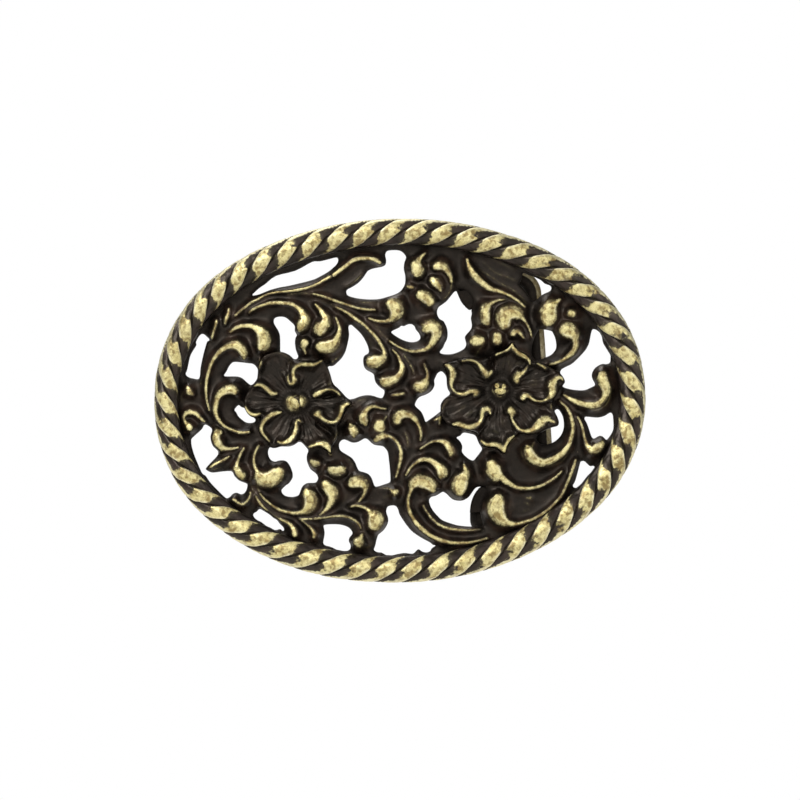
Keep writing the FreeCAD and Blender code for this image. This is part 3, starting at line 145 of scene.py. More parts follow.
    (1.00, [(-3.71, -4.25, 1.45), (-3.71, -4.79, 1.72)]),
    (0.60, [(-2.89, -3.53, 0.27), (-2.44, -2.80, 0.22)]),
    (1.00, [(-4.43, -7.23, 0.63), (-3.80, -6.78, 0.90), (-2.89, -6.42, 0.87), (-1.81, -6.51, 0.36), (-0.72, -7.32, 0.36), (0.00, -8.59, 0.42), (0.18, -9.67, 0.54), (0.00, -11.12, 0.45), (-0.36, -12.57, 0.33), (-0.72, -13.83, 0.18)]),
    (1.00, [(-0.45, -3.71, 1.08), (-0.18, -2.98, 1.27), (0.72, -2.53, 1.08), (1.81, -2.71, 0.90), (2.71, -3.44, 0.72), (3.35, -4.43, 0.45), (3.71, -5.42, 0.40), (3.80, -6.42, 0.24), (3.71, -7.14, 0.18)]),
    (0.50, [(0.90, -5.70, 0.18), (1.27, -6.78, 0.24), (1.45, -7.69, 0.24), (1.36, -8.41, 0.18)]),
    (1.00, [(3.62, -8.77, 0.14), (4.70, -8.05, 0.18), (5.79, -7.47, 0.27), (6.87, -7.32, 0.40), (7.78, -7.47, 0.69), (8.50, -8.05, 0.87), (9.04, -8.77, 0.99), (9.22, -9.31, 0.99), (9.13, -9.86, 0.54)]),
    (1.00, [(1.08, -13.47, 0.18), (1.99, -12.03, 0.27), (3.07, -11.12, 0.42), (3.98, -10.72, 0.54), (4.88, -10.67, 0.58), (5.79, -11.03, 0.72), (6.60, -11.66, 0.90), (7.23, -12.39, 1.18), (7.50, -13.02, 1.36), (7.32, -13.74, 0.72)]),
    (1.00, [(11.57, -11.66, 0.36), (11.84, -12.57, 0.72), (11.57, -13.65, 1.37), (11.01, -14.74, 2.24), (10.80, -15.64, 2.21), (10.78, -16.47, 1.27)]),
    (1.00, [(9.58, -4.30, 0.27), (10.49, -4.25, 0.60), (11.57, -4.61, 0.78), (12.48, -4.79, 0.81), (13.38, -4.52, 0.69), (14.29, -3.98, 0.45), (14.74, -3.16, 0.51), (14.83, -2.26, 0.58), (15.28, -1.63, 0.69), (16.00, -1.63, 0.63), (16.27, -2.26, 0.36)]),
    (1.00, [(14.65, -7.32, 0.36), (15.55, -7.96, 0.54), (16.64, -7.96, 0.72), (17.54, -8.05, 0.63), (18.26, -8.50, 0.72), (18.81, -9.13, 0.54)]),
    (1.00, [(18.90, -9.31, 0.36), (18.99, -8.41, 0.54), (19.35, -7.69, 0.63), (19.89, -7.05, 0.63), (20.61, -6.60, 0.45)]),
    (0.85, [(6.15, -3.53, 0.27), (6.69, -3.29, 0.45), (7.23, -3.07, 0.45), (7.18, -3.71, 0.27), (7.14, -4.25, 0.18)]),
    (0.40, [(7.59, -1.54, 0.27), (7.96, -0.72, 0.36), (8.50, -0.09, 0.27)]),
    (0.95, [(16.51, -11.63, 1.54), (16.96, -12.53, 2.28), (17.54, -13.36, 1.70), (18.26, -13.83, 0.99), (18.99, -14.47, 0.87), (20.43, -15.37, 0.58), (21.52, -15.77, 0.51), (22.78, -15.88, 0.49), (23.87, -15.82, 0.42), (24.95, -15.59, 0.36), (25.86, -15.23, 0.33), (26.76, -14.74, 0.31), (27.67, -14.20, 0.27), (28.39, -13.65, 0.22), (29.29, -12.75, 0.14)]),
    (1.00, [(19.98, -1.81, 1.08), (20.16, -2.17, 0.90), (20.16, -3.16, 0.18)]),
    (1.00, [(20.16, -3.16, 0.18), (20.71, -4.25, 0.36), (21.52, -5.15, 0.36), (22.60, -5.52, 0.54), (23.69, -5.33, 0.72), (24.68, -4.61, 1.08), (25.59, -3.89, 1.18), (26.49, -3.35, 0.81), (27.22, -3.62, 0.45), (27.94, -3.98, 0.22)]),
    (1.00, [(32.19, -3.07, 0.22), (32.73, -4.07, 0.27), (33.09, -5.33, 0.31), (33.33, -6.42, 0.33), (33.63, -7.32, 0.36), (34.00, -8.23, 0.65), (34.81, -8.77, 1.08), (35.71, -8.41, 1.19), (36.44, -7.83, 0.81), (36.71, -7.41, 0.36)]),
    (1.00, [(31.79, -10.76, 0.27), (31.46, -11.84, 0.36), (30.92, -13.29, 0.36), (30.51, -14.38, 0.33), (30.02, -15.46, 0.31), (29.48, -16.64, 0.31), (28.93, -17.54, 0.31), (28.21, -18.35, 0.33), (27.49, -19.08, 0.33), (26.76, -19.75, 0.34), (25.86, -20.40, 0.36), (24.95, -20.98, 0.36), (24.05, -21.43, 0.36), (22.97, -21.79, 0.36), (21.88, -22.12, 0.42), (20.80, -22.30, 0.54), (19.71, -22.15, 0.81), (18.54, -21.52, 1.45), (17.81, -20.52, 2.17), (17.45, -19.44, 2.71), (17.63, -18.44, 2.17), (17.72, -17.63, 1.27)]),
    (1.00, [(-15.73, 19.26, 0.18), (-13.56, 18.72, 0.29), (-11.75, 18.03, 0.33), (-9.58, 17.31, 0.33), (-7.78, 16.76, 0.24), (-6.15, 16.46, 0.33), (-4.52, 16.40, 0.18)]),
    (0.45, [(-7.23, 17.90, 0.18), (-6.15, 17.72, 0.24), (-4.52, 17.72, 0.18)]),
    (1.00, [(-5.61, 14.86, 0.18), (-4.16, 14.38, 0.33), (-2.71, 14.32, 0.45), (-1.63, 14.65, 0.63), (-1.27, 15.10, 1.08), (-0.81, 16.00, 1.81), (-0.99, 16.91, 2.17), (-1.63, 17.54, 1.45)]),
    (0.50, [(-9.58, 20.43, 0.27), (-8.50, 21.16, 0.33), (-7.59, 21.97, 0.33), (-6.69, 22.88, 0.27)]),
    (1.00, [(4.52, 26.58, 0.27), (3.71, 25.77, 0.54), (3.25, 24.95, 0.90), (3.04, 24.14, 1.63), (3.07, 23.51, 1.81), (2.98, 22.97, 1.08)]),
    (1.00, [(6.51, 24.14, 0.99), (7.23, 24.23, 1.18), (8.05, 23.87, 0.99), (8.68, 23.15, 0.72), (9.10, 22.33, 0.54), (9.31, 21.43, 0.36)]),
    (0.45, [(9.31, 21.43, 0.36), (9.22, 20.34, 0.33), (8.68, 19.08, 0.27), (7.78, 18.17, 0.18)]),
    (0.95, [(5.88, 21.79, 0.90), (6.42, 21.25, 1.27), (6.96, 20.61, 0.99), (7.32, 19.89, 0.36)]),
    (0.95, [(3.80, 18.99, 1.45), (4.61, 18.54, 1.63), (5.42, 17.81, 1.36)]),
    (0.80, [(1.27, 20.61, 0.36), (1.81, 20.52, 0.63), (2.26, 20.43, 0.54)]),
    (1.00, [(12.12, 25.59, 0.24), (12.35, 24.59, 0.54), (12.75, 23.69, 0.76), (13.47, 22.60, 0.94), (14.47, 21.61, 0.90), (15.55, 20.71, 0.81), (16.64, 20.11, 0.63), (17.72, 19.80, 0.54), (18.99, 19.35, 0.45), (20.25, 18.72, 0.36), (21.34, 17.99, 0.33), (22.60, 16.91, 0.24)]),
    (0.90, [(18.99, 18.23, 0.18), (17.72, 18.08, 0.27), (16.27, 17.45, 0.63), (15.64, 16.64, 1.27), (15.46, 15.64, 1.36), (15.55, 14.56, 1.27), (15.82, 13.92, 0.72)]),
    (1.00, [(18.99, 13.83, 1.63), (18.99, 15.10, 2.35), (20.07, 15.73, 1.99), (21.25, 15.55, 1.45), (21.97, 15.01, 0.63), (22.60, 14.29, 0.29), (23.33, 13.11, 0.18), (23.87, 11.48, 0.14)]),
    (0.90, [(20.43, 12.03, 0.81), (20.98, 12.48, 0.72), (21.70, 12.12, 0.54), (22.33, 11.30, 0.27)]),
    (1.00, [(28.93, 18.26, 0.27), (28.21, 17.72, 0.72), (27.31, 16.91, 1.81), (26.94, 16.00, 2.53), (26.85, 15.10, 2.53), (26.67, 14.29, 1.45)]),
    (1.00, [(30.83, 15.73, 1.08), (31.19, 15.73, 1.08)]),
    (0.90, [(-30.11, -17.90, 0.43), (-29.48, -18.35, 0.34), (-28.93, -18.68, 0.36), (-28.48, -18.75, 0.36), (-27.94, -18.44, 0.33), (-27.40, -17.81, 0.29), (-27.12, -17.27, 0.24), (-27.07, -16.64, 0.22)]),
    (0.35, [(-27.12, -14.01, 0.18), (-26.94, -15.28, 0.22), (-26.58, -16.37, 0.22), (-26.04, -17.36, 0.24)]),
    (1.00, [(-26.04, -17.36, 0.22), (-25.50, -18.26, 0.31), (-24.77, -19.26, 0.36), (-23.96, -20.07, 0.36), (-23.15, -20.71, 0.36), (-22.06, -21.34, 0.36), (-20.98, -21.75, 0.36), (-20.16, -22.15, 0.45), (-19.53, -22.78, 0.54), (-19.17, -23.42, 0.76), (-18.99, -24.14, 0.81)]),
    (0.50, [(-25.86, -15.28, 0.18), (-25.59, -16.18, 0.22), (-25.14, -17.00, 0.22)]),
    (1.00, [(-25.32, -16.82, 0.22), (-24.59, -17.72, 0.25), (-23.51, -18.63, 0.31), (-22.42, -19.40, 0.34), (-21.34, -19.89, 0.36), (-20.25, -20.16, 0.36), (-19.17, -20.34, 0.40), (-18.26, -20.27, 0.51), (-17.54, -20.04, 0.69), (-16.82, -19.44, 1.27), (-16.37, -18.72, 1.72), (-16.27, -17.99, 1.81), (-16.55, -17.18, 1.54), (-16.91, -16.46, 1.08)]),
    (0.90, [(-18.08, -21.43, 0.18), (-16.27, -21.39, 0.18), (-14.47, -21.25, 0.22), (-13.02, -21.07, 0.27), (-11.75, -20.89, 0.29), (-10.67, -20.83, 0.31), (-9.58, -21.01, 0.31), (-8.68, -21.37, 0.31), (-7.87, -21.88, 0.31), (-7.32, -22.51, 0.29), (-7.05, -23.06, 0.22)]),
    (1.00, [(-8.86, -19.17, 0.22), (-7.96, -18.99, 0.33), (-7.05, -19.13, 0.34), (-6.15, -19.49, 0.40), (-5.52, -19.98, 0.58), (-4.97, -20.71, 1.27), (-4.52, -21.52, 2.35), (-4.61, -22.24, 1.99)]),
    (0.95, [(-7.87, -25.68, 0.90), (-7.59, -25.46, 1.37), (-7.18, -24.92, 0.83), (-6.87, -24.23, 0.36)]),
    (0.35, [(-6.69, -23.51, 0.22), (-6.60, -24.14, 0.27)]),
    (0.30, [(-6.24, -26.49, 0.27), (-5.52, -26.40, 0.33), (-4.97, -25.86, 0.22)]),
    (0.85, [(-17.72, -21.70, 0.18), (-17.00, -22.24, 0.22), (-16.37, -22.78, 0.27), (-15.82, -23.42, 0.47), (-15.46, -24.14, 0.65), (-15.55, -24.68, 0.45)]),
    (0.30, [(-9.67, -17.09, 0.22), (-9.95, -17.81, 0.24), (-10.31, -18.35, 0.18)]),
    (0.50, [(-3.98, -15.70, 0.14), (-2.53, -15.86, 0.18), (-1.54, -16.11, 0.29)]),
    (0.90, [(-1.48, -16.27, 0.47), (-0.94, -16.47, 0.90), (-0.58, -16.33, 0.54)]),
    (0.80, [(-1.01, -16.64, 0.54), (-0.98, -17.27, 0.29)]),
    (0.35, [(-3.07, -15.52, 0.18), (-2.35, -15.70, 0.24), (-1.54, -16.00, 0.36)]),
    (0.30, [(-2.89, -17.50, 0.18), (-2.17, -17.22, 0.25), (-1.63, -17.00, 0.25)]),
    (1.00, [(5.88, -16.18, 0.90), (5.42, -15.46, 1.54), (4.52, -14.92, 1.81), (3.44, -14.74, 1.63), (2.62, -15.10, 1.27), (2.08, -15.91, 0.63), (1.72, -16.91, 0.38), (1.50, -17.63, 0.40), (1.45, -18.54, 0.45), (1.57, -19.44, 0.49), (1.86, -20.34, 0.51), (2.35, -21.25, 0.54), (2.98, -22.15, 0.56), (3.80, -23.02, 0.60), (4.70, -23.78, 0.60), (5.61, -24.41, 0.60), (6.69, -24.95, 0.58), (7.78, -25.35, 0.54), (8.86, -25.59, 0.51), (9.95, -25.70, 0.49), (11.03, -25.73, 0.45), (12.12, -25.68, 0.40), (13.20, -25.50, 0.31), (14.29, -25.28, 0.25), (15.01, -25.10, 0.24), (15.73, -24.90, 0.22)]),
    (0.85, [(4.25, -18.99, 0.24), (4.52, -19.62, 0.24), (5.15, -20.52, 0.25), (5.70, -21.25, 0.29), (6.51, -22.03, 0.33), (7.41, -22.57, 0.36), (8.32, -22.93, 0.40), (9.22, -23.20, 0.40), (10.31, -23.31, 0.40), (11.39, -23.38, 0.34), (12.66, -23.35, 0.31), (13.74, -23.27, 0.27), (14.47, -23.20, 0.18)]),
    (0.45, [(22.88, -17.63, 0.27), (23.51, -17.63, 0.63)]),
    (0.35, [(22.60, -18.44, 0.24), (23.24, -18.77, 0.33)]),
    (0.30, [(22.42, -19.98, 0.22), (23.24, -19.71, 0.22)]),
    (0.50, [(-20.25, 19.15, 0.14), (-17.72, 19.40, 0.18), (-15.73, 19.26, 0.18)]),
    (0.40, [(-14.10, 17.99, 0.14), (-12.84, 17.45, 0.18), (-11.57, 16.91, 0.22)]),
    (0.45, [(-4.52, 13.83, 0.14), (-3.44, 12.21, 0.18), (-1.81, 10.67, 0.24)]),
    (0.35, [(-5.79, 11.66, 0.14), (-5.46, 10.76, 0.18), (-5.37, 9.67, 0.14)]),
    (0.38, [(14.34, 23.80, 0.14), (16.20, 22.57, 0.29), (18.17, 21.21, 0.29), (20.14, 20.22, 0.25), (21.88, 18.75, 0.22), (22.86, 17.50, 0.18)]),
    (0.36, [(15.19, 24.92, 0.14), (17.18, 23.18, 0.29), (19.40, 22.33, 0.29), (20.89, 21.70, 0.22)]),
    (0.33, [(16.64, 25.68, 0.14), (18.63, 24.68, 0.25), (20.61, 23.60, 0.22)]),
    (0.45, [(22.50, 23.06, 0.14), (21.50, 21.08, 0.18), (22.86, 19.49, 0.14), (23.87, 18.35, 0.14)]),
    (0.40, [(23.96, 3.63, 0.18), (24.59, 3.58, 0.14)]),
    (0.40, [(23.60, 2.80, 0.14), (24.59, 2.97, 0.18)]),
    (0.40, [(10.52, -1.97, 0.14), (11.63, -0.99, 0.22)]),
    (0.40, [(12.01, -2.71, 0.14), (12.98, -1.97, 0.18)]),
    (0.35, [(19.78, 5.55, 0.18), (20.14, 6.29, 0.14)]),
    (0.35, [(16.94, -5.42, 0.14), (17.69, -5.79, 0.18)]),
    (0.35, [(18.41, -3.45, 0.14), (18.54, -4.20, 0.14)]),
    (0.30, [(-23.15, 8.68, 0.18), (-21.88, 8.68, 0.22), (-20.80, 8.14, 0.25), (-19.89, 7.14, 0.22), (-19.53, 6.24, 0.18)]),
    (0.30, [(18.63, 6.24, 0.18), (18.81, 6.96, 0.18), (19.53, 7.14, 0.22), (19.71, 6.42, 0.18)]),
    (0.35, [(20.89, 6.60, 0.14), (21.52, 6.78, 0.14), (22.33, 6.64, 0.14)]),
    (0.98, [(-19.62, 0.00, 1.45), (-19.26, -0.49, 1.99), (-18.81, -0.90, 1.45)]),
    (0.80, [(-17.85, 0.45, 0.81), (-17.61, -0.18, 1.08), (-17.67, -0.81, 0.81)]),
    (0.60, [(-19.44, 0.78, 0.22), (-18.72, 0.87, 0.25)]),
]
LEFT_FLOWER = [
    (-25.68, 5.33), (-25.50, 6.42), (-25.14, 7.32), (-24.59, 8.05), (-23.51, 8.50), (-22.24, 8.86), (-20.98, 8.68), (-19.89, 8.14),
    (-19.26, 7.41), (-18.44, 7.05), (-17.54, 7.14), (-16.27, 7.05), (-15.19, 7.23), (-14.10, 7.59), (-13.56, 6.96), (-13.02, 5.88),
    (-12.57, 4.61), (-12.21, 3.35), (-11.57, 2.44), (-9.95, 0.63), (-9.13, 0.09), (-8.68, -0.36), (-9.95, -1.90), (-10.67, -3.71),
    (-11.12, -4.34), (-11.21, -4.97), (-11.21, -6.06), (-11.48, -7.05), (-12.30, -8.41), (-12.39, -9.67), (-13.11, -9.04), (-14.10, -8.63),
    (-15.37, -8.70), (-16.46, -8.68), (-17.90, -7.41), (-18.63, -7.69), (-19.35, -8.14), (-20.43, -8.28), (-21.52, -8.32), (-22.42, -8.59),
    (-23.33, -8.50), (-24.05, -7.50), (-24.95, -6.60), (-25.50, -5.52), (-25.59, -4.43), (-25.32, -3.53), (-24.95, -2.98), (-25.86, -3.07),
    (-26.76, -2.98), (-27.49, -2.44), (-28.03, -1.54), (-28.30, -0.81), (-28.12, 0.27), (-27.67, 1.36), (-26.94, 2.35), (-26.31, 2.89),
    (-25.86, 3.80),
]
RIGHT_FLOWER = [
    (7.87, 6.51), (8.68, 6.87), (9.95, 7.14), (11.21, 7.56), (12.66, 7.69), (13.92, 7.59), (15.19, 7.69), (16.46, 8.05),
    (17.36, 8.68), (18.63, 9.04), (19.53, 9.67), (20.25, 10.49), (20.71, 9.86), (21.52, 8.95), (22.78, 8.32), (23.51, 7.69),
    (23.87, 6.96), (24.77, 7.00), (25.86, 6.60), (28.03, 5.52), (28.93, 4.97), (29.48, 4.25), (29.84, 3.44), (29.57, 2.80),
    (28.75, 2.08), (28.39, 1.18), (27.49, -0.27), (28.03, -2.08), (28.48, -2.98), (28.75, -3.98), (28.48, -4.61), (27.49, -4.88),
    (26.40, -5.30), (25.32, -5.88), (24.05, -6.15), (21.52, -5.97), (20.07, -7.23), (19.44, -8.23), (18.90, -9.58), (17.18, -8.50),
    (15.91, -8.41), (14.83, -7.96), (14.29, -7.14), (14.20, -6.15), (13.38, -5.52), (10.85, -5.15), (9.58, -4.79), (8.59, -4.25),
    (7.96, -3.53), (7.41, -2.44), (7.32, -1.36), (7.59, -0.45), (8.32, 0.54), (9.04, 1.18), (8.77, 2.08), (8.41, 4.25),
    (8.05, 5.52),
]
LEFT_C = (-18.6, -0.25)
RIGHT_C = (18.1, 2.2)
# folds between petals
FOLDS = [
    [(-19.71, 6.96, 0.18), (-19.89, 4.97, 0.18), (-20.07, 2.98, 0.18)],
    [(-15.73, 0.81, 0.18), (-13.38, 0.72, 0.18), (-10.85, 1.36, 0.18)],
    [(-14.83, -4.25, 0.18), (-13.20, -5.33, 0.18), (-11.93, -6.60, 0.18)],
    [(-18.26, -4.07, 0.18), (-18.08, -5.70, 0.18), (-18.08, -7.32, 0.18)],
    [(-21.52, -1.72, 0.18), (-23.15, -2.17, 0.18), (-24.95, -3.16, 0.18)],
    [(-22.24, 1.54, 0.18), (-24.23, 2.26, 0.18), (-26.04, 2.98, 0.18)],
    [(16.46, 5.33, 0.18), (16.64, 6.60, 0.18), (16.46, 8.05, 0.18)],
    [(21.16, 3.53, 0.18), (22.24, 5.15, 0.18), (23.33, 6.60, 0.18)],
    [(22.24, 0.45, 0.18), (24.77, -0.27, 0.18), (27.49, -0.27, 0.18)],
    [(20.07, -1.90, 0.18), (20.61, -3.89, 0.18), (21.52, -5.88, 0.18)],
    [(16.27, -2.26, 0.18), (15.37, -4.07, 0.18), (14.10, -5.70, 0.18)],
    [(13.74, 1.36, 0.18), (11.39, 0.90, 0.18), (9.04, 1.18, 0.18)],
]
# the rope rim: its base oval's half axes, then (arc length clockwise from the top, how far the rope's middle stands out from the oval, its half width)
RIM_A, RIM_B = 42.043, 30.380
RIM = [
    (0.00, 0.226, 2.215), (9.04, 0.384, 2.238), (18.08, 0.542, 2.260), (23.51, 0.759, 2.315), (28.93, 0.931, 2.324),
    (36.17, 1.067, 2.242), (43.40, 0.854, 2.310), (48.82, 0.613, 2.280), (54.25, 0.327, 2.204), (65.10, 0.110, 2.277),
    (72.33, 0.038, 2.367), (81.37, -0.136, 2.396), (90.42, -0.108, 2.333), (99.46, -0.018, 2.333), (108.50, 0.154, 2.287),
    (117.54, 0.298, 2.234), (126.58, 0.556, 2.338), (135.62, 0.723, 2.351), (144.67, 0.904, 2.260), (153.71, 1.085, 2.170),
    (157.32, 0.986, 2.179), (162.75, 0.723, 2.080), (171.79, 0.425, 2.052), (180.83, 0.678, 2.125), (189.87, 0.949, 2.215),
    (195.30, 0.845, 2.283), (202.53, 0.612, 2.281), (209.76, 0.362, 2.260), (217.00, 0.208, 2.288),
]
BEAD_R = 1.45
# where each strand crosses the middle line, as mm along it
STRANDS = [
    2.9, 7.5, 12.0, 16.5, 21.2, 25.9, 30.5, 35.1, 39.6, 44.3, 49.0, 53.9,
    58.7, 63.4, 68.1, 72.8, 77.6, 82.6, 87.8, 92.8, 97.7, 102.7, 107.6, 112.4,
    117.1, 121.6, 126.4, 131.1, 135.8, 140.5, 144.9, 149.1, 153.3, 157.7, 162.3, 166.8,
    171.3, 175.8, 180.4, 185.0, 189.7, 194.2, 198.6, 203.3, 208.1, 212.8, 217.6, 222.4,
    227.1,
]


# ------------------------------------------------------------------ small numpy helpers
def smoothstep(a, b, v):
    t = np.clip((v - a) / (b - a), 0.0, 1.0)
    return t * t * (3 - 2 * t)


def catmull(points, closed, n):
    """Points on the Catmull-Rom curve through the given ones, n per span."""
    P = np.asarray(points, float)
    if closed:
        Q = np.vstack([P[-1], P, P[0], P[1]])
    else:
        Q = np.vstack([2 * P[0] - P[1], P, 2 * P[-1] - P[-2]])
    t = np.arange(n) / n
    out = []
    for i in range(1, len(Q) - 2):
        a, b, c, d = Q[i - 1], Q[i], Q[i + 1], Q[i + 2]
        for s in t:
            out.append(0.5 * ((2 * b) + (c - a) * s + (2 * a - 5 * b + 4 * c - d) * s * s + (3 * b - a - 3 * c + d) * s ** 3))
    if not closed:
        out.append(P[-1])
    return np.array(out)


def bend(P):
    """Flat (x, height above the back, z) to the bent casting's X, Y, Z."""
    P = np.asarray(P, float)
    x, h, z = P[:, 0], P[:, 1], P[:, 2]
    return np.stack([x, BEND_R - np.sqrt((BEND_R + h) ** 2 - x ** 2), z], 1)


class Grid:
    def __init__(self, x0, x1, z0, z1, g):
        self.g = g
        self.nx = int(round((x1 - x0) / g)) + 1
        self.nz = int(round((z1 - z0) / g)) + 1
        self.x = x0 + g * np.arange(self.nx)
        self.z = z0 + g * np.arange(self.nz)
        self.X, self.Z = np.meshgrid(self.x, self.z, indexing="ij")

    def window(self, ax, az, bx, bz, reach):
        i0 = max(0, int((min(ax, bx) - reach - self.x[0]) / self.g))
        i1 = min(self.nx, int((max(ax, bx) + reach - self.x[0]) / self.g) + 2)
        j0 = max(0, int((min(az, bz) - reach - self.z[0]) / self.g))
        j1 = min(self.nz, int((max(az, bz) + reach - self.z[0]) / self.g) + 2)
        return slice(i0, max(i0, i1)), slice(j0, max(j0, j1))

    def line(self, pts, widths, reach):
        """Distance to a line with a width that changes along it: (distance - half width, half width there, distance,
        and 1 on the outside of the line's bend to -1 on the inside of it)."""
        P = np.asarray(pts, float)
        step = np.diff(P, axis=0)
        way = np.unwrap(np.arctan2(step[:, 1], step[:, 0]))
        if len(way) > 2:
            turn = np.gradient(way) / (np.hypot(step[:, 0], step[:, 1]) + 1e-6)
            turn = np.convolve(np.pad(turn, 3, "edge"), np.ones(7) / 7, "valid")
        else:
            turn = np.zeros(len(way))
        turn = np.tanh(turn * 3.0)
        K = np.zeros((self.nx, self.nz))
        E = np.full((self.nx, self.nz), 1e3)
        C = np.zeros((self.nx, self.nz))
        D = np.full((self.nx, self.nz), 1e3)
        for k in range(len(pts) - 1):
            (ax, az), (bx, bz) = pts[k], pts[k + 1]
            w = self.window(ax, az, bx, bz, reach)
            X, Z = self.X[w], self.Z[w]
            dx, dz = bx - ax, bz - az
            L2 = dx * dx + dz * dz
            t = np.clip(((X - ax) * dx + (Z - az) * dz) / (L2 + 1e-12), 0, 1)
            d = np.hypot(X - ax - t * dx, Z - az - t * dz)
            c = 0.5 * (widths[k] + t * (widths[k + 1] - widths[k]))
            e = d - c
            better = e < E[w]
            E[w] = np.where(better, e, E[w])
            C[w] = np.where(better, c, C[w])
            D[w] = np.where(better, d, D[w])
            off = (dx * (Z - az) - dz * (X - ax)) / np.sqrt(L2 + 1e-12)
            K[w] = np.where(better, -turn[k] * np.clip(off / (c + 0.10), -1, 1), K[w])
        return E, C, D, K

    def inside(self, poly):
        """Signed distance to a closed outline, positive inside, true to about 3 mm."""
        P = np.asarray(poly, float)
        Q = np.roll(P, -1, 0)
        D = np.full((self.nx, self.nz), 3.0)
        cross = np.zeros((self.nx, self.nz), bool)
        for (ax, az), (bx, bz) in zip(P, Q):
            w = self.window(ax, az, bx, bz, 3.0)
            X, Z = self.X[w], self.Z[w]
            dx, dz = bx - ax, bz - az
            t = np.clip(((X - ax) * dx + (Z - az) * dz) / (dx * dx + dz * dz + 1e-12), 0, 1)
            D[w] = np.minimum(D[w], np.hypot(X - ax - t * dx, Z - az - t * dz))
            if abs(dz) > 1e-12:
                j = np.where((self.z >= min(az, bz)) & (self.z < max(az, bz)))[0]
                if len(j):
                    xc = ax + (self.z[j] - az) / dz * dx
                    cross[:, j] ^= self.x[:, None] < xc[None, :]
        return np.where(cross, D, -D)

    def sample(self, F, x, z):
        u = np.clip((x - self.x[0]) / self.g, 0, self.nx - 1.001)
        v = np.clip((z - self.z[0]) / self.g, 0, self.nz - 1.001)
        i, j = u.astype(int), v.astype(int)
        u, v = u - i, v - j
        return F[i, j] * (1 - u) * (1 - v) + F[i + 1, j] * u * (1 - v) + F[i, j + 1] * (1 - u) * v + F[i + 1, j + 1] * u * v


def rounded(a, b, r):
    """Both a and b inside, with the edge between them rounded to radius r."""
    m = np.minimum(a, b)
    u, v = np.maximum(r - a, 0), np.maximum(r - b, 0)
    corner = r - np.sqrt(u * u + v * v)
    return np.where((a < r) & (b < r), np.minimum(m, corner), m)


def surface_nets(F, origin, g):
    """Quads on the zero level of F (positive inside), faces outwards. F is indexed x, h, z."""
    F = F.astype(np.float32)
    S = F > 0
    n0, n1, n2 = F.shape
    c = np.zeros((n0 - 1, n1 - 1, n2 - 1), np.int8)
    for a in (0, 1):
        for b in (0, 1):
            for d in (0, 1):
                c += S[a:n0 - 1 + a, b:n1 - 1 + b, d:n2 - 1 + d]
    active = (c > 0) & (c < 8)
    cells = np.argwhere(active)
    index = np.full(active.shape, -1, np.int64)
    index[active] = np.arange(len(cells))
    pos = np.zeros((len(cells), 3))
    count = np.zeros(len(cells))
    corners = [(a, b, d) for a in (0, 1) for b in (0, 1) for d in (0, 1)]
    for p in corners:
        for axis in range(3):
            if p[axis]:
                continue
            q = list(p)
            q[axis] = 1
            fp = F[cells[:, 0] + p[0], cells[:, 1] + p[1], cells[:, 2] + p[2]]
            fq = F[cells[:, 0] + q[0], cells[:, 1] + q[1], cells[:, 2] + q[2]]
            hit = (fp > 0) != (fq > 0)
            t = np.where(hit, fp / np.where(hit, fp - fq, 1), 0)
            add = np.array(p, float)[None, :] + 0 * pos
            add[:, axis] += t
            pos[hit] += add[hit]
            count[hit] += 1
    V = (cells + pos / count[:, None]) * g + np.asarray(origin)[None, :]
    faces = []
    for axis in range(3):
        lo = [slice(None)] * 3
        hi = [slice(None)] * 3
        lo[axis], hi[axis] = slice(0, -1), slice(1, None)
        change = S[tuple(lo)] != S[tuple(hi)]
        a1, a2 = [k for k in range(3) if k != axis]
        e = np.argwhere(change)
        keep = (e[:, a1] > 0) & (e[:, a2] > 0) & (e[:, a1] < F.shape[a1] - 1) & (e[:, a2] < F.shape[a2] - 1)
        e = e[keep]
        was = S[e[:, 0], e[:, 1], e[:, 2]]
        quad = []
        for o1, o2 in ((-1, -1), (0, -1), (0, 0), (-1, 0)):
            k = e.copy()
            k[:, a1] += o1
            k[:, a2] += o2
            quad.append(index[k[:, 0], k[:, 1], k[:, 2]])
        quad = np.stack(quad, 1)
        flip = was if axis != 1 else ~was
        quad[~flip] = quad[~flip][:, ::-1]
        faces.append(quad)
    return V, np.vstack(faces)


def mesh_object(name, verts_mm, faces, smooth=True):
    me = bpy.data.meshes.new(name)
    v = np.asarray(verts_mm, float) * MM
    f = np.asarray(faces)
    me.vertices.add(len(v))
    me.vertices.foreach_set("co", v.astype(np.float32).ravel())
    k = f.shape[1]
    me.loops.add(f.size)
    me.loops.foreach_set("vertex_index", f.astype(np.int32).ravel())
    me.polygons.add(len(f))
    me.polygons.foreach_set("loop_start", (np.arange(len(f)) * k).astype(np.int32))
    me.polygons.foreach_set("loop_total", np.full(len(f), k, np.int32))
    me.update(calc_edges=True)
    me.validate()
    me.polygons.foreach_set("use_smooth", np.full(len(me.polygons), smooth))
    ob = bpy.data.objects.new(name, me)
    bpy.context.scene.collection.objects.link(ob)
    return ob


def give(ob, name, values):
    a = ob.data.attributes.new(name, "FLOAT", "POINT")
    a.data.foreach_set("value", np.asarray(values, np.float32))


# ------------------------------------------------------------------ relief of the scrollwork
GRID = 0.17
grid = Grid(-41.8, 41.8, -30.0, 30.0, GRID)
X, Z = grid.X, grid.Z

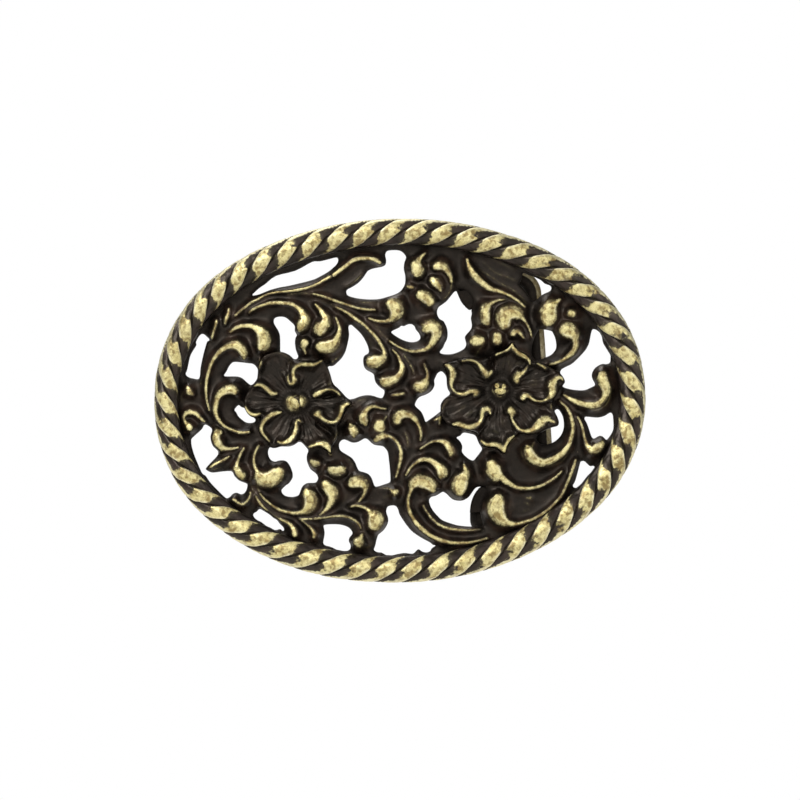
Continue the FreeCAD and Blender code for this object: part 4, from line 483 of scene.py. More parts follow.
def rim_frame(n):
    """Points along the rim's base oval, clockwise from the top: arc length, point, tangent, outward normal."""
    t = np.linspace(0, 2 * np.pi, 20001)
    x, z = RIM_A * np.sin(t), RIM_B * np.cos(t)
    s = np.concatenate([[0], np.cumsum(np.hypot(np.diff(x), np.diff(z)))])
    S = np.linspace(0, s[-1], n, endpoint=False)
    T = np.interp(S, s, t)
    P = np.stack([RIM_A * np.sin(T), RIM_B * np.cos(T)], 1)
    D = np.stack([RIM_A * np.cos(T), -RIM_B * np.sin(T)], 1)
    D /= np.linalg.norm(D, axis=1)[:, None]
    return S, s[-1], P, D, np.stack([-D[:, 1], D[:, 0]], 1)


def round_the_rim(S, total, column):
    """A column of RIM at each S, smooth and closed."""
    a = np.array(RIM)
    v = np.interp(S, a[:, 0], a[:, column], period=total)
    n = len(S)
    k = max(3, int(4.0 / total * n))
    w = np.hanning(k + 2)[1:-1]
    w /= w.sum()
    pad = np.concatenate([v[-k:], v, v[:k]])
    return np.convolve(pad, w, "same")[k:-k]


ROPE_N = 1600
rope_s, rope_len, rope_p, rope_t, rope_out = rim_frame(ROPE_N)
rope_c = round_the_rim(rope_s, rope_len, 1)
rope_w = round_the_rim(rope_s, rope_len, 2)
rope = rope_p + rope_out * rope_c[:, None]

hole_d = np.full(X.shape, 3.0)           # distance into the metal from the nearest opening
for h in HOLES:
    hole_d = np.minimum(hole_d, 0.04 - grid.inside(catmull(h, True, 3)))
left_d = grid.inside(catmull(LEFT_FLOWER, True, 3))
right_d = grid.inside(catmull(RIGHT_FLOWER, True, 3))
rim_d = grid.inside(rope)                # inside the middle line of the rope

# every crest: how high it stands above the hollows, and where the brass is worn bright
rise8 = np.zeros(X.shape)
bright = np.zeros(X.shape)
flank_rub_and_sheen = np.zeros(X.shape)
gleam = np.zeros(X.shape)
REACH = 2.6
for b, pts in CRESTS:
    P = np.array(pts, float)
    line = catmull(P[:, :2], False, 4) if len(P) > 2 else P[:, :2]
    width = np.interp(np.linspace(0, len(P) - 1, len(line)), np.arange(len(P)), P[:, 2])
    E, C, D, K = grid.line(line, width, REACH)
    near = E < 100
    K = K * np.exp(-(np.clip(E, 0, 50) / 1.0) ** 2)
    wide = smoothstep(0.20, 0.85, C)
    # a dark rib stands up unrubbed; a faint gleam hardly stands up at all
    strength = 0.38 if b < 0.01 else 0.12 + 0.88 * smoothstep(0.2, 0.75, b)
    top = (1.25 + 1.05 * smoothstep(0.08, 0.70, C)) * strength
    crown = 0.20 * np.clip(1 - (D / np.maximum(C, 0.05)) ** 2, 0, 1) * smoothstep(0.2, 1.0, C)
    # steep into the hollow on the inside of a curl, round-shouldered on the outside of it
    lam = (0.62 + 0.55 * wide) * (0.75 + 0.25 * strength) * (1 + np.where(K > 0, 0.38, 0.42) * K)
    fall = np.exp(-(np.maximum(E, 0) / lam) ** (1.55 + 0.35 * np.maximum(K, 0)))
    r = np.where(near, (top + crown) * fall, 0)
    rise8 += r ** 14
    outer = np.maximum(K, 0)
    edge = (0.045 + 0.06 * wide) * (1 + 2.4 * outer)
    m = 1 - smoothstep(-edge * 1.7, edge * 0.7, E + 0.045 * smoothstep(0.08, 0.2, C))
    fade = smoothstep(0.04, 0.14, C)
    bright = np.maximum(bright, np.where(near, b * m * (0.45 + 0.55 * fade), 0))
    # a blush of brass fading out from each crest, wider on the outside of a curl: partly rub-through, partly a painted
    # sheen on the crest's shoulders
    spread = 0.14 + 0.62 * wide * (0.25 + outer)
    flank_rub_and_sheen = np.maximum(flank_rub_and_sheen, np.where(near, np.exp(-(np.maximum(E + 0.04, 0) / spread) ** 1.6) * min(1, b), 0))
    gleam = np.maximum(gleam, np.where(near & (K < -0.25), b * np.exp(-((E + 0.13) / 0.10) ** 2) * wide, 0))
rise = rise8 ** (1 / 14)
# the valleys between crests are soft, the crests themselves stay crisp
soft_rise = rise
for _ in range(6):
    for ax in (0, 1):
        soft_rise = 0.25 * np.roll(soft_rise, 1, ax) + 0.5 * soft_rise + 0.25 * np.roll(soft_rise, -1, ax)
keep = smoothstep(0.55, 1.25, rise)
rise = rise * keep + soft_rise * (1 - keep)


def cheap_noise(x, z, scale, seed):
    """Smooth noise between -1 and 1."""
    rng = np.random.RandomState(seed)
    T = rng.rand(64, 64) * 2 - 1
    u, v = x / scale + 17.3, z / scale + 9.1
    i, j = np.floor(u).astype(int), np.floor(v).astype(int)
    fu, fv = u - i, v - j
    fu, fv = fu * fu * (3 - 2 * fu), fv * fv * (3 - 2 * fv)
    g = lambda a, b: T[a % 64, b % 64]
    return g(i, j) * (1 - fu) * (1 - fv) + g(i + 1, j) * fu * (1 - fv) + g(i, j + 1) * (1 - fu) * fv + g(i + 1, j + 1) * fu * fv


wobble = 0.10 * cheap_noise(X, Z, 2.3, 3) + 0.05 * cheap_noise(X, Z, 0.9, 4)
scroll_floor = 1.30 + wobble
# the ground sinks round the flowers, so that their petals stand out
around = np.maximum(left_d, right_d)
scroll_floor -= 0.35 * smoothstep(-1.2, -0.1, around)
scroll_top = scroll_floor + rise
scroll_top = np.where(around > -0.05, np.minimum(scroll_top, 1.7), scroll_top)
scroll_top = np.minimum(scroll_top, 4.3)


def petals(cx, cz, d, veins, turn):
    """Height of a flower: petals rise outwards from the heart, dished, with veins."""
    dx, dz = X - cx, Z - cz
    r = np.hypot(dx, dz)
    a = np.arctan2(dz, dx)
    base = 1.25 + 0.60 * smoothstep(1.4, 4.0, r) + 0.65 * smoothstep(3.0, 7.5, r)
    base += 0.60 * (1 - smoothstep(0.10, 1.3, d)) * smoothstep(2.0, 4.5, r)      # the rim of a petal turns up
    v = 0.085 * np.sin(a * veins + 1.8 * cheap_noise(X, Z, 2.6, 11) + turn)
    v += 0.045 * np.sin(a * veins * 2.3 + 2.2 * cheap_noise(X, Z, 1.9, 12))
    base += v * smoothstep(0.9, 2.6, r) * smoothstep(0.2, 1.2, d)
    base += 0.10 * cheap_noise(X, Z, 1.9, 21) + 0.05 * cheap_noise(X, Z, 0.8, 22)
    return base, r


left_top, left_r = petals(LEFT_C[0], LEFT_C[1], left_d, 34, 0.4)
right_top, right_r = petals(RIGHT_C[0], RIGHT_C[1], right_d, 36, 1.1)
fold = np.zeros(X.shape)
for f in FOLDS:
    P = np.array(f, float)
    line = catmull(P[:, :2], False, 4) if len(P) > 2 else P[:, :2]
    width = np.interp(np.linspace(0, len(P) - 1, len(line)), np.arange(len(P)), P[:, 2])
    E, C, D, K = grid.line(line, width, 1.6)
    fold = np.maximum(fold, np.where(E < 50, np.exp(-(D / 0.50) ** 2), 0))
left_top = np.minimum(left_top + rise * 0.85 - 1.00 * fold * (1 - np.clip(rise, 0, 1)), 4.35)
right_top = np.minimum(right_top + rise * 0.85 - 1.00 * fold * (1 - np.clip(rise, 0, 1)), 4.35)

LEVELS = np.arange(-0.34, 4.8, GRID)


def relief_piece(name, top, d, edge_r, back_r, node, ground=1.2):
    """A solid between the back face and the relief, cut out along d > 0, bent like the casting."""
    ok = np.argwhere(d > -0.5)
    (i0, j0), (i1, j1) = ok.min(0), ok.max(0)
    i0, j0 = max(i0 - 2, 0), max(j0 - 2, 0)
    i1, j1 = min(i1 + 3, grid.nx), min(j1 + 3, grid.nz)
    T, B = top[i0:i1, j0:j1], d[i0:i1, j0:j1]
    a = T[:, None, :] - LEVELS[None, :, None]
    b = np.broadcast_to(B[:, None, :], a.shape)
    F = rounded(a, b, edge_r)
    F = rounded(F, np.broadcast_to(LEVELS[None, :, None] - 0.02, a.shape), back_r)
    V, Q = surface_nets(F, (grid.x[i0], LEVELS[0], grid.z[j0]), GRID)
    used = np.unique(Q)
    remap = np.full(len(V), -1)
    remap[used] = np.arange(len(used))
    V, Q = V[used], remap[Q]
    # how bright each point is worn: on the crests, and only on what faces forward
    t = grid.sample(top, V[:, 0], V[:, 2])
    near_top = smoothstep(-0.55, -0.15, V[:, 1] - t)
    w = grid.sample(bright, V[:, 0], V[:, 2]) * near_top
    w = np.maximum(w, 0.26 * (1 - smoothstep(0.03, 0.12, V[:, 1])))      # the back is rubbed a little all over
    f = grid.sample(flank_rub_and_sheen, V[:, 0], V[:, 2]) * near_top
    ob = mesh_object(name, bend(V), Q)
    give(ob, "worn", w)
    give(ob, "flank_rub_and_sheen", f)
    give(ob, "gleam", grid.sample(gleam, V[:, 0], V[:, 2]) * near_top)
    # painted shade: near-black low in the hollows, partly their deeper patina, and a painted shadow round each flower's
    # heart
    hollow = 1 - smoothstep(0.05, 0.90, V[:, 1] - ground)
    from_heart = np.minimum(grid.sample(left_r, V[:, 0], V[:, 2]), grid.sample(right_r, V[:, 0], V[:, 2]))
    hollow = np.maximum(hollow, 0.95 * (1 - smoothstep(2.3, 4.6, from_heart)))
    give(ob, "painted_shade", hollow * smoothstep(0.05, 0.3, V[:, 1]))
    give(ob, "height", V[:, 1])
    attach(ob, "buckle")
    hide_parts(node)
    return ob


scroll_d = np.minimum(hole_d, rim_d + 0.6)
scroll_d = np.minimum(scroll_d, -(around - 0.55))
scroll = relief_piece("scrollwork_relief", scroll_top, scroll_d, 1.30, 0.35, "scrollwork")
flower_cut = hole_d + 0.10
left = relief_piece("left_flower_relief", left_top, np.minimum(left_d, flower_cut), 0.70, 0.3, "left_flower", 1.0)
right = relief_piece("right_flower_relief", right_top, np.minimum(right_d, flower_cut), 0.70, 0.3, "right_flower", 1.0)

# ------------------------------------------------------------------ rope rim
def strand_phase(s):
    """Which strand a place along the rim is on: whole numbers are strand middles."""
    st = np.array(STRANDS)
    k = np.arange(len(st))
    st = np.concatenate([st - rope_len, st, st + rope_len])
    k = np.concatenate([k - len(STRANDS), k, k + len(STRANDS)])
    return np.interp(s, st, k)


# One strand, from the inner foot (-1) to the outer foot (1) of the cord: how far the
# crease on its right leans along the rim, in half strands, and which share of the
# strand's width, from its left crease to its right one, is rubbed bright.
CREASE = np.array([
    (-1.00, -1.70), (-0.98, -1.28), (-0.95, -0.90), (-0.875, -0.48), (-0.80, -0.21), (-0.67, 0.06), (-0.49, 0.34), (-0.30, 0.60),
    (-0.10, 0.86), (0.00, 1.01), (0.16, 1.27), (0.40, 1.60), (0.67, 1.95), (0.84, 2.22), (0.93, 2.48), (0.98, 2.78), (1.00, 3.05)])
BRIGHT = np.array([
    (-1.00, 0.96, 0.965), (-0.93, 0.80, 0.965), (-0.80, 0.64, 0.965), (-0.59, 0.49, 0.965), (-0.40, 0.37, 0.965), (-0.20, 0.25, 0.960),
    (0.00, 0.14, 0.92), (0.21, 0.065, 0.70), (0.43, 0.045, 0.55), (0.60, 0.04, 0.50), (0.74, 0.04, 0.52), (0.84, 0.04, 0.62), (0.91, 0.04, 0.80), (0.96, 0.04, 0.95), (1.00, 0.03, 0.99)])


def soft(table, column, T):
    """A column of one of those tables, without its corners."""
    fine = np.linspace(-1.1, 1.1, 441)
    y = np.interp(fine, table[:, 0], table[:, column])
    k = np.hanning(13)[1:-1]
    y = np.convolve(np.concatenate([np.full(5, y[0]), y, np.full(5, y[-1])]), k / k.sum(), "same")[5:-5]
    return np.interp(T, fine, y)


def rope_rim():
    dome = np.radians(np.linspace(-90, 90, 43))
    side = np.linspace(1, 0, 7)[1:]
    SIDE_H = 1.9
    # the section, from the inner foot over the dome to the outer foot, then across the back
    sec = []                                  # (angle, share of the way down the side)
    for k in side[::-1]:
        sec.append((-np.pi / 2, k))
    for a in dome:
        sec.append((a, 1.0))
    for k in side:
        sec.append((np.pi / 2, k))
    ang = np.array([a for a, k in sec])
    down = np.array([k for a, k in sec])
    S = rope_s[:, None]
    W = rope_w[:, None]
    A = ang[None, :]
    T = np.sin(A)
    wide = np.where(T < 0, W + 0.30, W)
    here = cheap_noise(S + 0 * A, wide * T, 1.1, 44)
    y = strand_phase(S) - soft(CREASE, 1, T) / 2 + 0.020 * here
    w = y - np.floor(y)                       # 0 at the strand's left crease, 1 at its right
    strand = np.floor(y).astype(int)
    rng = np.random.RandomState(8)
    odd = rng.rand(len(STRANDS)) - 0.5
    odd2 = rng.rand(len(STRANDS)) - 0.5
    odd_k = odd[strand % len(STRANDS)]
    odd2_k = odd2[strand % len(STRANDS)]
    left = soft(BRIGHT, 1, T)
    right = soft(BRIGHT, 2, T)
    # the bright share narrows along the outer edge on the lower left of the rim
    lower = smoothstep(0.25, 0.95, -0.75 * rope_out[:, 1][:, None] - 0.55 * rope_out[:, 0][:, None])
    right = right - 0.35 * lower * (right - 0.52) * smoothstep(0.80, 0.90, T)
    half = (right - left) / 2
    mid = (right + left) / 2
    dl = np.clip((left - w) / left, 0, 1)
    dr = np.clip((w - right) / (1 - right), 0, 1)
    inside = np.minimum(np.abs(w - mid) / half, 1)
    # the strand: gently domed where it is rubbed, dropping to the creases either side
    drop = 0.13 * inside ** 2.2 + 0.46 * smoothstep(0, 1.05, dl) + 0.46 * smoothstep(0, 1.05, dr)
    crease = np.exp(-(np.minimum(w, 1 - w) / 0.045) ** 2)
    drop = drop + 0.28 * crease
    ends = 1 - 0.80 * smoothstep(0.86, 1.0, np.abs(T))
    lift = -drop * ends + 0.07 * odd_k * np.cos(A)
    # casting unevenness
    lift = lift + 0.035 * cheap_noise(S + 0 * A, W * A * 1.3, 0.8, 31) + 0.022 * cheap_noise(S + 0 * A, W * A * 1.3, 0.35, 32)
    v = (wide + lift * 0.9) * np.sin(A)
    h = SIDE_H * down[None, :] ** 0.9 + 2.62 * np.cos(A) + lift * np.cos(A)
    h = np.where(down[None, :] < 1, SIDE_H * down[None, :] + 0 * h, h)
    # the foot: rounded in at the back
    tuck = 0.30 * (1 - np.clip(down / 0.35, 0, 1)) ** 2
    v = v - np.sign(np.sin(A)) * tuck[None, :]
    # the inner side spreads into the plate
    spread = (1 - down)[None, :] ** 1.2 * 0.25 * (A < 0)
    v = v - spread
    x = rope[:, 0][:, None] + rope_out[:, 0][:, None] * v
    z = rope[:, 1][:, None] + rope_out[:, 1][:, None] * v
    m = len(sec)
    # back: three more points straight across between the feet
    extra = []
    for f in (0.75, 0.5, 0.25):
        extra.append((x[:, 0] * (1 - f) + x[:, -1] * f, z[:, 0] * (1 - f) + z[:, -1] * f))
    xs = np.concatenate([x] + [e[0][:, None] for e in extra], 1)
    zs = np.concatenate([z] + [e[1][:, None] for e in extra], 1)
    hs = np.concatenate([h, np.zeros((ROPE_N, 3))], 1)
    V = bend(np.stack([xs.ravel(), hs.ravel(), zs.ravel()], 1))
    M = m + 3
    i = np.arange(ROPE_N)[:, None]
    j = np.arange(M)[None, :]
    a = i * M + j
    b = i * M + (j + 1) % M
    c = ((i + 1) % ROPE_N) * M + (j + 1) % M
    d = ((i + 1) % ROPE_N) * M + j
    Q = np.stack([a, d, c, b], 2).reshape(-1, 4)
    # the rub: crisp against a crease, ragged where it fades back into the patina
    rag = cheap_noise(S + 0 * A, wide * A * 1.3, 0.60, 41) + 0.6 * cheap_noise(S + 0 * A, wide * A * 1.3, 0.28, 42)
    shift = 0.05 * odd2_k
    soft_l = smoothstep(0.06, 0.40, left)     # how far the rub stops short of the crease
    soft_r = smoothstep(0.06, 0.36, 1 - right) * (1 - 0.75 * smoothstep(0.68, 0.86, T))
    worn = smoothstep(-0.02 - 0.05 * soft_l, 0.02 + 0.05 * soft_l, w - left - shift * soft_l + 0.060 * rag * soft_l)
    worn = worn * (1 - smoothstep(-0.015 - 0.17 * soft_r, 0.015 + 0.08 * soft_r, w - right + shift * soft_r + 0.085 * rag * soft_r))
    worn = worn * smoothstep(-1.005, -0.975, T + 0.0 * w)
    # the outermost edge is painted brighter, more of it on the upper half where the light falls: partly a rub of its
    # own, partly a painted highlight
    up = 0.45 + 0.55 * smoothstep(-0.6, 0.5, rope_out[:, 1][:, None])
    rub_and_highlight = up * 0.62 * smoothstep(0.94, 0.995, T) * smoothstep(-0.5, 0.2, cheap_noise(S + 0 * A, W * A, 2.6, 43))
    worn = np.maximum(worn, rub_and_highlight)
    # the outer side wall takes the same partly painted highlight, fading towards the foot
    worn = np.where(down[None, :] < 1, 0.60 * (A > 0) * smoothstep(0.55, 1.0, down[None, :]) * (0.5 * up + 0.5 * worn), worn)
    # brown mottling and painted shade on the shoulder turned from the light, more of it on the right of the buckle
    stain = smoothstep(0.1, 0.9, (w - mid) / half) * smoothstep(-0.1, 0.5, T) * smoothstep(-0.1, 0.6, rag)
    east = smoothstep(-0.2, 0.8, rope_out[:, 0][:, None])
    blot = cheap_noise(S + 0 * A, wide * A * 1.3, 0.9, 45) + 0.5 * rag
    worn = worn * (1 - 0.60 * stain) * (1 - (0.22 + 0.38 * east) * smoothstep(0.15, 0.75, blot) * smoothstep(-0.5, 0.6, (w - mid) / half))
    gleam = np.exp(-((w - left) / 0.10) ** 2) * smoothstep(-0.15, 0.15, T) * (1 - smoothstep(0.9, 1.0, T))
    gleam = gleam + np.exp(-((w - right) / 0.075) ** 2) * smoothstep(0.0, -0.35, T) + 0.8 * smoothstep(0.62, 0.9, T)
    # a painted sheen, partly rub, just outside each bright patch on the strand
    veil = np.exp(-(np.maximum(left - w, 0) / 0.16) ** 2) * (w < left) + np.exp(-(np.maximum(w - right, 0) / 0.16) ** 2) * (w > right)
    z3 = np.zeros((ROPE_N, 3))
    flat = lambda f: np.concatenate([f * (down[None, :] == 1), z3], 1).ravel()
    ob = mesh_object("rope_rim_strands", V, Q)
    give(ob, "worn", np.maximum(np.concatenate([worn, z3], 1).ravel(), 0.26 * (1 - smoothstep(0.02, 0.10, hs.ravel()))))
    give(ob, "flank_rub_and_sheen", flat(0.45 * veil))
    # painted shade in the creases between strands and along the inner foot against the plate
    give(ob, "painted_shade", flat(0.9 * crease + 0.35 * smoothstep(-0.75, -1.0, T)))
    give(ob, "gleam", flat(np.clip(gleam, 0, 1)))
    give(ob, "height", hs.ravel())
    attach(ob, "buckle")
    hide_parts("rope_rim")
    return ob


rim = rope_rim()

# ------------------------------------------------------------------ beads, lugs, bale, hook
def lathe(rings, around):
    """Closed surface from rings of points (list of (n,3) arrays), first and last ring closed by a fan."""
    n = around
    V = np.vstack(rings)
    F = []
    for k in range(len(rings) - 1):
        a = k * n + np.arange(n)
        b = k * n + (np.arange(n) + 1) % n
        F.append(np.stack([a, b, b + n, a + n], 1))
    V = np.vstack([V, rings[0].mean(0), rings[-1].mean(0)])
    c0, c1 = len(V) - 2, len(V) - 1
    a = np.arange(n)
    b = (a + 1) % n
    t0 = np.stack([b, a, np.full(n, c0)], 1)
    base = (len(rings) - 1) * n
    t1 = np.stack([base + a, base + b, np.full(n, c1)], 1)
    return V, np.vstack(F), np.vstack([t0, t1])


def mixed_object(name, V, quads, tris, body, node):
    me = bpy.data.meshes.new(name)
    faces = [tuple(int(k) for k in f) for f in quads] + [tuple(int(k) for k in f) for f in tris]
    me.from_pydata([tuple(p) for p in (np.asarray(V) * MM)], [], faces)
    me.validate()
    me.update()
    me.polygons.foreach_set("use_smooth", np.ones(len(me.polygons), bool))
    ob = bpy.data.objects.new(name, me)
    bpy.context.scene.collection.objects.link(ob)
    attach(ob, body)
    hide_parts(node)
    return ob


def bead(name, centre, node, pit):
    """The round heart of a flower: a cast ball, dented and cracked."""
    n, m = 72, 34
    cx, cz = centre
    rings = []
    for k in range(m):
        th = np.pi * (0.012 + 0.70 * k / (m - 1))
        ph = 2 * np.pi * np.arange(n) / n
        r = BEAD_R * np.ones(n)
        x = np.sin(th) * np.cos(ph)
        z = np.sin(th) * np.sin(ph)
        lump = 0.05 * np.sin(3 * ph + 0.6) * np.sin(th) ** 2
        lump = lump + 0.05 * cheap_noise(x * 1.4 + 3 * pit, z * 1.4, 0.45, 61) + 0.02 * cheap_noise(x * 1.4, z * 1.4, 0.2, 62)
        if pit:
            rr = np.hypot(x * BEAD_R, z * BEAD_R - 0.15)
            lump = lump - 0.50 * np.exp(-(rr / 0.34) ** 2)
            for a in (0.5, 2.3, 4.2):
                away = np.abs(np.angle(np.exp(1j * (ph - a))))
                lump = lump - 0.16 * np.exp(-(away * np.sin(th) / 0.16) ** 2) * smoothstep(0.15, 0.4, np.sin(th))
        else:
            crack = x * BEAD_R - 0.42 - 0.25 * z
            lump = lump - 0.22 * np.exp(-(crack / 0.13) ** 2)
            crack = z * BEAD_R - 0.55 + 0.5 * x
            lump = lump - 0.15 * np.exp(-(crack / 0.12) ** 2) * (x < 0.3)
        r = r * (1 + lump)
        h = 2.7 + r * np.cos(th)
        rings.append(np.stack([cx + r * x, h, cz + r * z], 1))
    V, F, T = lathe(rings, n)
    ob = mixed_object(name, bend(V), F[:, ::-1], T[:, ::-1], "buckle", node)
    w = grid.sample(bright, V[:, 0], V[:, 2]) * smoothstep(2.6, 3.3, V[:, 1])
    if pit:
        dx, dz = V[:, 0] - cx, V[:, 2] - cz
        one = np.hypot(dx + 0.60, (dz - 0.46) * 0.9) / 0.42
        two = np.hypot(dx - 0.66, (dz - 0.38) * 0.9) / 0.38
        low = np.hypot(dx / 1.08, (dz + 0.52) / 0.58)
        w = 1 - smoothstep(0.78, 1.12, np.minimum(np.minimum(one, two), low))
    give(ob, "worn", w)
    # a painted sheen, partly rub, on the top of the ball
    give(ob, "flank_rub_and_sheen", 0.35 * smoothstep(3.0, 3.8, V[:, 1]))
    give(ob, "height", V[:, 1])
    return ob


left_bead = bead("left_flower_bead_ball", LEFT_C, "left_flower_bead", 0)
right_bead = bead("right_flower_bead_ball", RIGHT_C, "right_flower_bead", 1)


def back_y(x):
    return BEND_R - np.sqrt(BEND_R ** 2 - x ** 2)


HINGE = np.array([13.85, float(back_y(13.85)) + 3.2, -0.10])
TILT = math.radians(4.0)
U_AX = np.array([-math.sin(TILT), 0, math.cos(TILT)])
N_AX = np.array([math.cos(TILT), 0, math.sin(TILT)])
Y_AX = np.array([0.0, 1.0, 0.0])


def hinge_point(u, n, y=0.0):
    return HINGE + np.outer(np.atleast_1d(u), U_AX) + np.outer(np.atleast_1d(n), N_AX) + np.outer(np.atleast_1d(y) * np.ones(len(np.atleast_1d(u))), Y_AX)


def bale():
    path = []
    def arc(cu, cn, r, a0, a1, n):
        for a in np.radians(np.linspace(a0, a1, n)):
            path.append((cu + r * math.cos(a), cn + r * math.sin(a)))
    for u in (17.95, 17.99, 18.11, 18.35, 18.7, 19.1, 19.5, 19.88):
        path.append((u, 0.0))
    arc(21.75 - 1.8, 1.8, 1.8, -90, 0, 12)
    for n in np.linspace(1.8, 8.6, 14)[1:-1]:
        path.append((21.75, n))
    arc(18.75, 8.6, 3.0, 0, 90, 16)
    for u in np.linspace(18.75, 0, 32)[1:]:
        path.append((u, 11.6))
    half = list(path)
    path = half + [(-u, n) for u, n in half[:-1][::-1]]
    P = np.array(path)
    T = np.gradient(P, axis=0)
    T /= np.linalg.norm(T, axis=1)[:, None]
    au = np.abs(P[:, 0])
    pin = (P[:, 1] < 0.01)
    r = np.where(pin, 1.3, 1.6)
    r = np.where(pin & (au > 19.7), 1.32, r)
    r = r + np.where(~pin, 0.45 * smoothstep(0.02, 0.5, P[:, 1]) * (1 - smoothstep(1.4, 3.6, P[:, 1])), 0)
    end = np.clip((au - 17.95) / 0.36, 0, 1)
    r = np.where(pin, r - 0.32 * (1 - end) ** 2, r)
    n = 36
    ph = 2 * np.pi * np.arange(n) / n
    rings, rub_and_highlight, plate_side_shade = [], [], []
    along = np.concatenate([[0], np.cumsum(np.linalg.norm(np.diff(P, axis=0), axis=1))])
    for k in range(len(P)):
        side = np.array([-T[k, 1], T[k, 0]])         # in the u, n plane
        rr = r[k] * (1 - 0.012 * np.cos(2 * ph)) + 0.018 * cheap_noise(along[k] + 0 * ph, ph * 1.5, 1.1, 71)
        rr = np.minimum(rr, r[k] + 0.012)
        off = rr * np.cos(ph)
        yy = rr * np.sin(ph)
        u = P[k, 0] + side[0] * off
        w = P[k, 1] + side[1] * off
        rings.append(HINGE + np.outer(u, U_AX) + np.outer(w, N_AX) + np.outer(yy, Y_AX))
        # rubbed where the strap lies: the far side of the bar, and the corners; the band along the bar is partly a
        # painted highlight for its lit edge
        onbar = smoothstep(8.4, 9.6, P[k, 1] + 0 * ph)
        rub_and_highlight.append(0.10 + 0.62 * onbar * smoothstep(0.36, 0.46, np.abs(off) / 1.6) * (w > P[k, 1]) + 0.12 * (P[k, 1] > 1.0) * smoothstep(0.5, 1, np.sin(ph)))
        # painted shade on the side of the wire turned towards the plate, kept off where it is rubbed
        plate_side_shade.append(0.9 * (1 - smoothstep(-0.3, 0.5, np.sin(ph))) * (1 - smoothstep(0.15, 0.5, rub_and_highlight[-1])))
    V, F, T3 = lathe(rings, n)
    worn = [np.concatenate(rub_and_highlight), [0.1, 0.1]]
    shade = [np.concatenate(plate_side_shade), [0, 0]]
    # a round knuckle at each hinge end
    m = 64
    th = 2 * np.pi * np.arange(m) / m
    for s in (1, -1):
        prof = [(0.6, 20.14), (1.6, 20.14), (2.38, 20.14), (2.49, 20.16), (2.55, 20.24), (2.58, 20.50), (2.60, 20.9), (2.64, 21.4), (2.62, 21.9), (2.56, 22.3), (2.44, 22.65), (2.24, 22.95), (1.94, 23.18), (1.5, 23.31), (0.8, 23.36)]
        kr = []
        for r0, u0 in prof:
            rr = r0 + 0.015 * cheap_noise(th * 2.2, th * 0 + u0, 0.8, 75) * (r0 > 2)
            kr.append(HINGE + np.outer(s * u0 * np.ones(m), U_AX) + np.outer(rr * np.cos(th), N_AX) + np.outer(rr * np.sin(th), Y_AX))
        KV, KF, KT = lathe(kr, m)
        if s > 0:
            KF, KT = KF[:, ::-1], KT[:, ::-1]
        F, T3 = np.vstack([F, KF + len(V)]), np.vstack([T3, KT + len(V)])
        V = np.vstack([V, KV])
        worn += [np.concatenate([(0.10 + 0.26 * smoothstep(0.3, 1.0, np.sin(th)) * (r0 > 2.2)) for r0, u0 in prof]), [0.1, 0.1]]
        # painted shade on the side of each knuckle turned towards the plate
        shade += [np.concatenate([0.9 * (1 - smoothstep(-0.2, 0.6, np.sin(th))) for r0, u0 in prof]), [0, 0]]
    ob = mixed_object("bale_loop", V, F, T3, "bale", "bale")
    give(ob, "worn", np.concatenate(worn))
    give(ob, "flank_rub_and_sheen", np.zeros(len(V)))
    give(ob, "painted_shade", np.concatenate(shade))
    return ob


loop = bale()


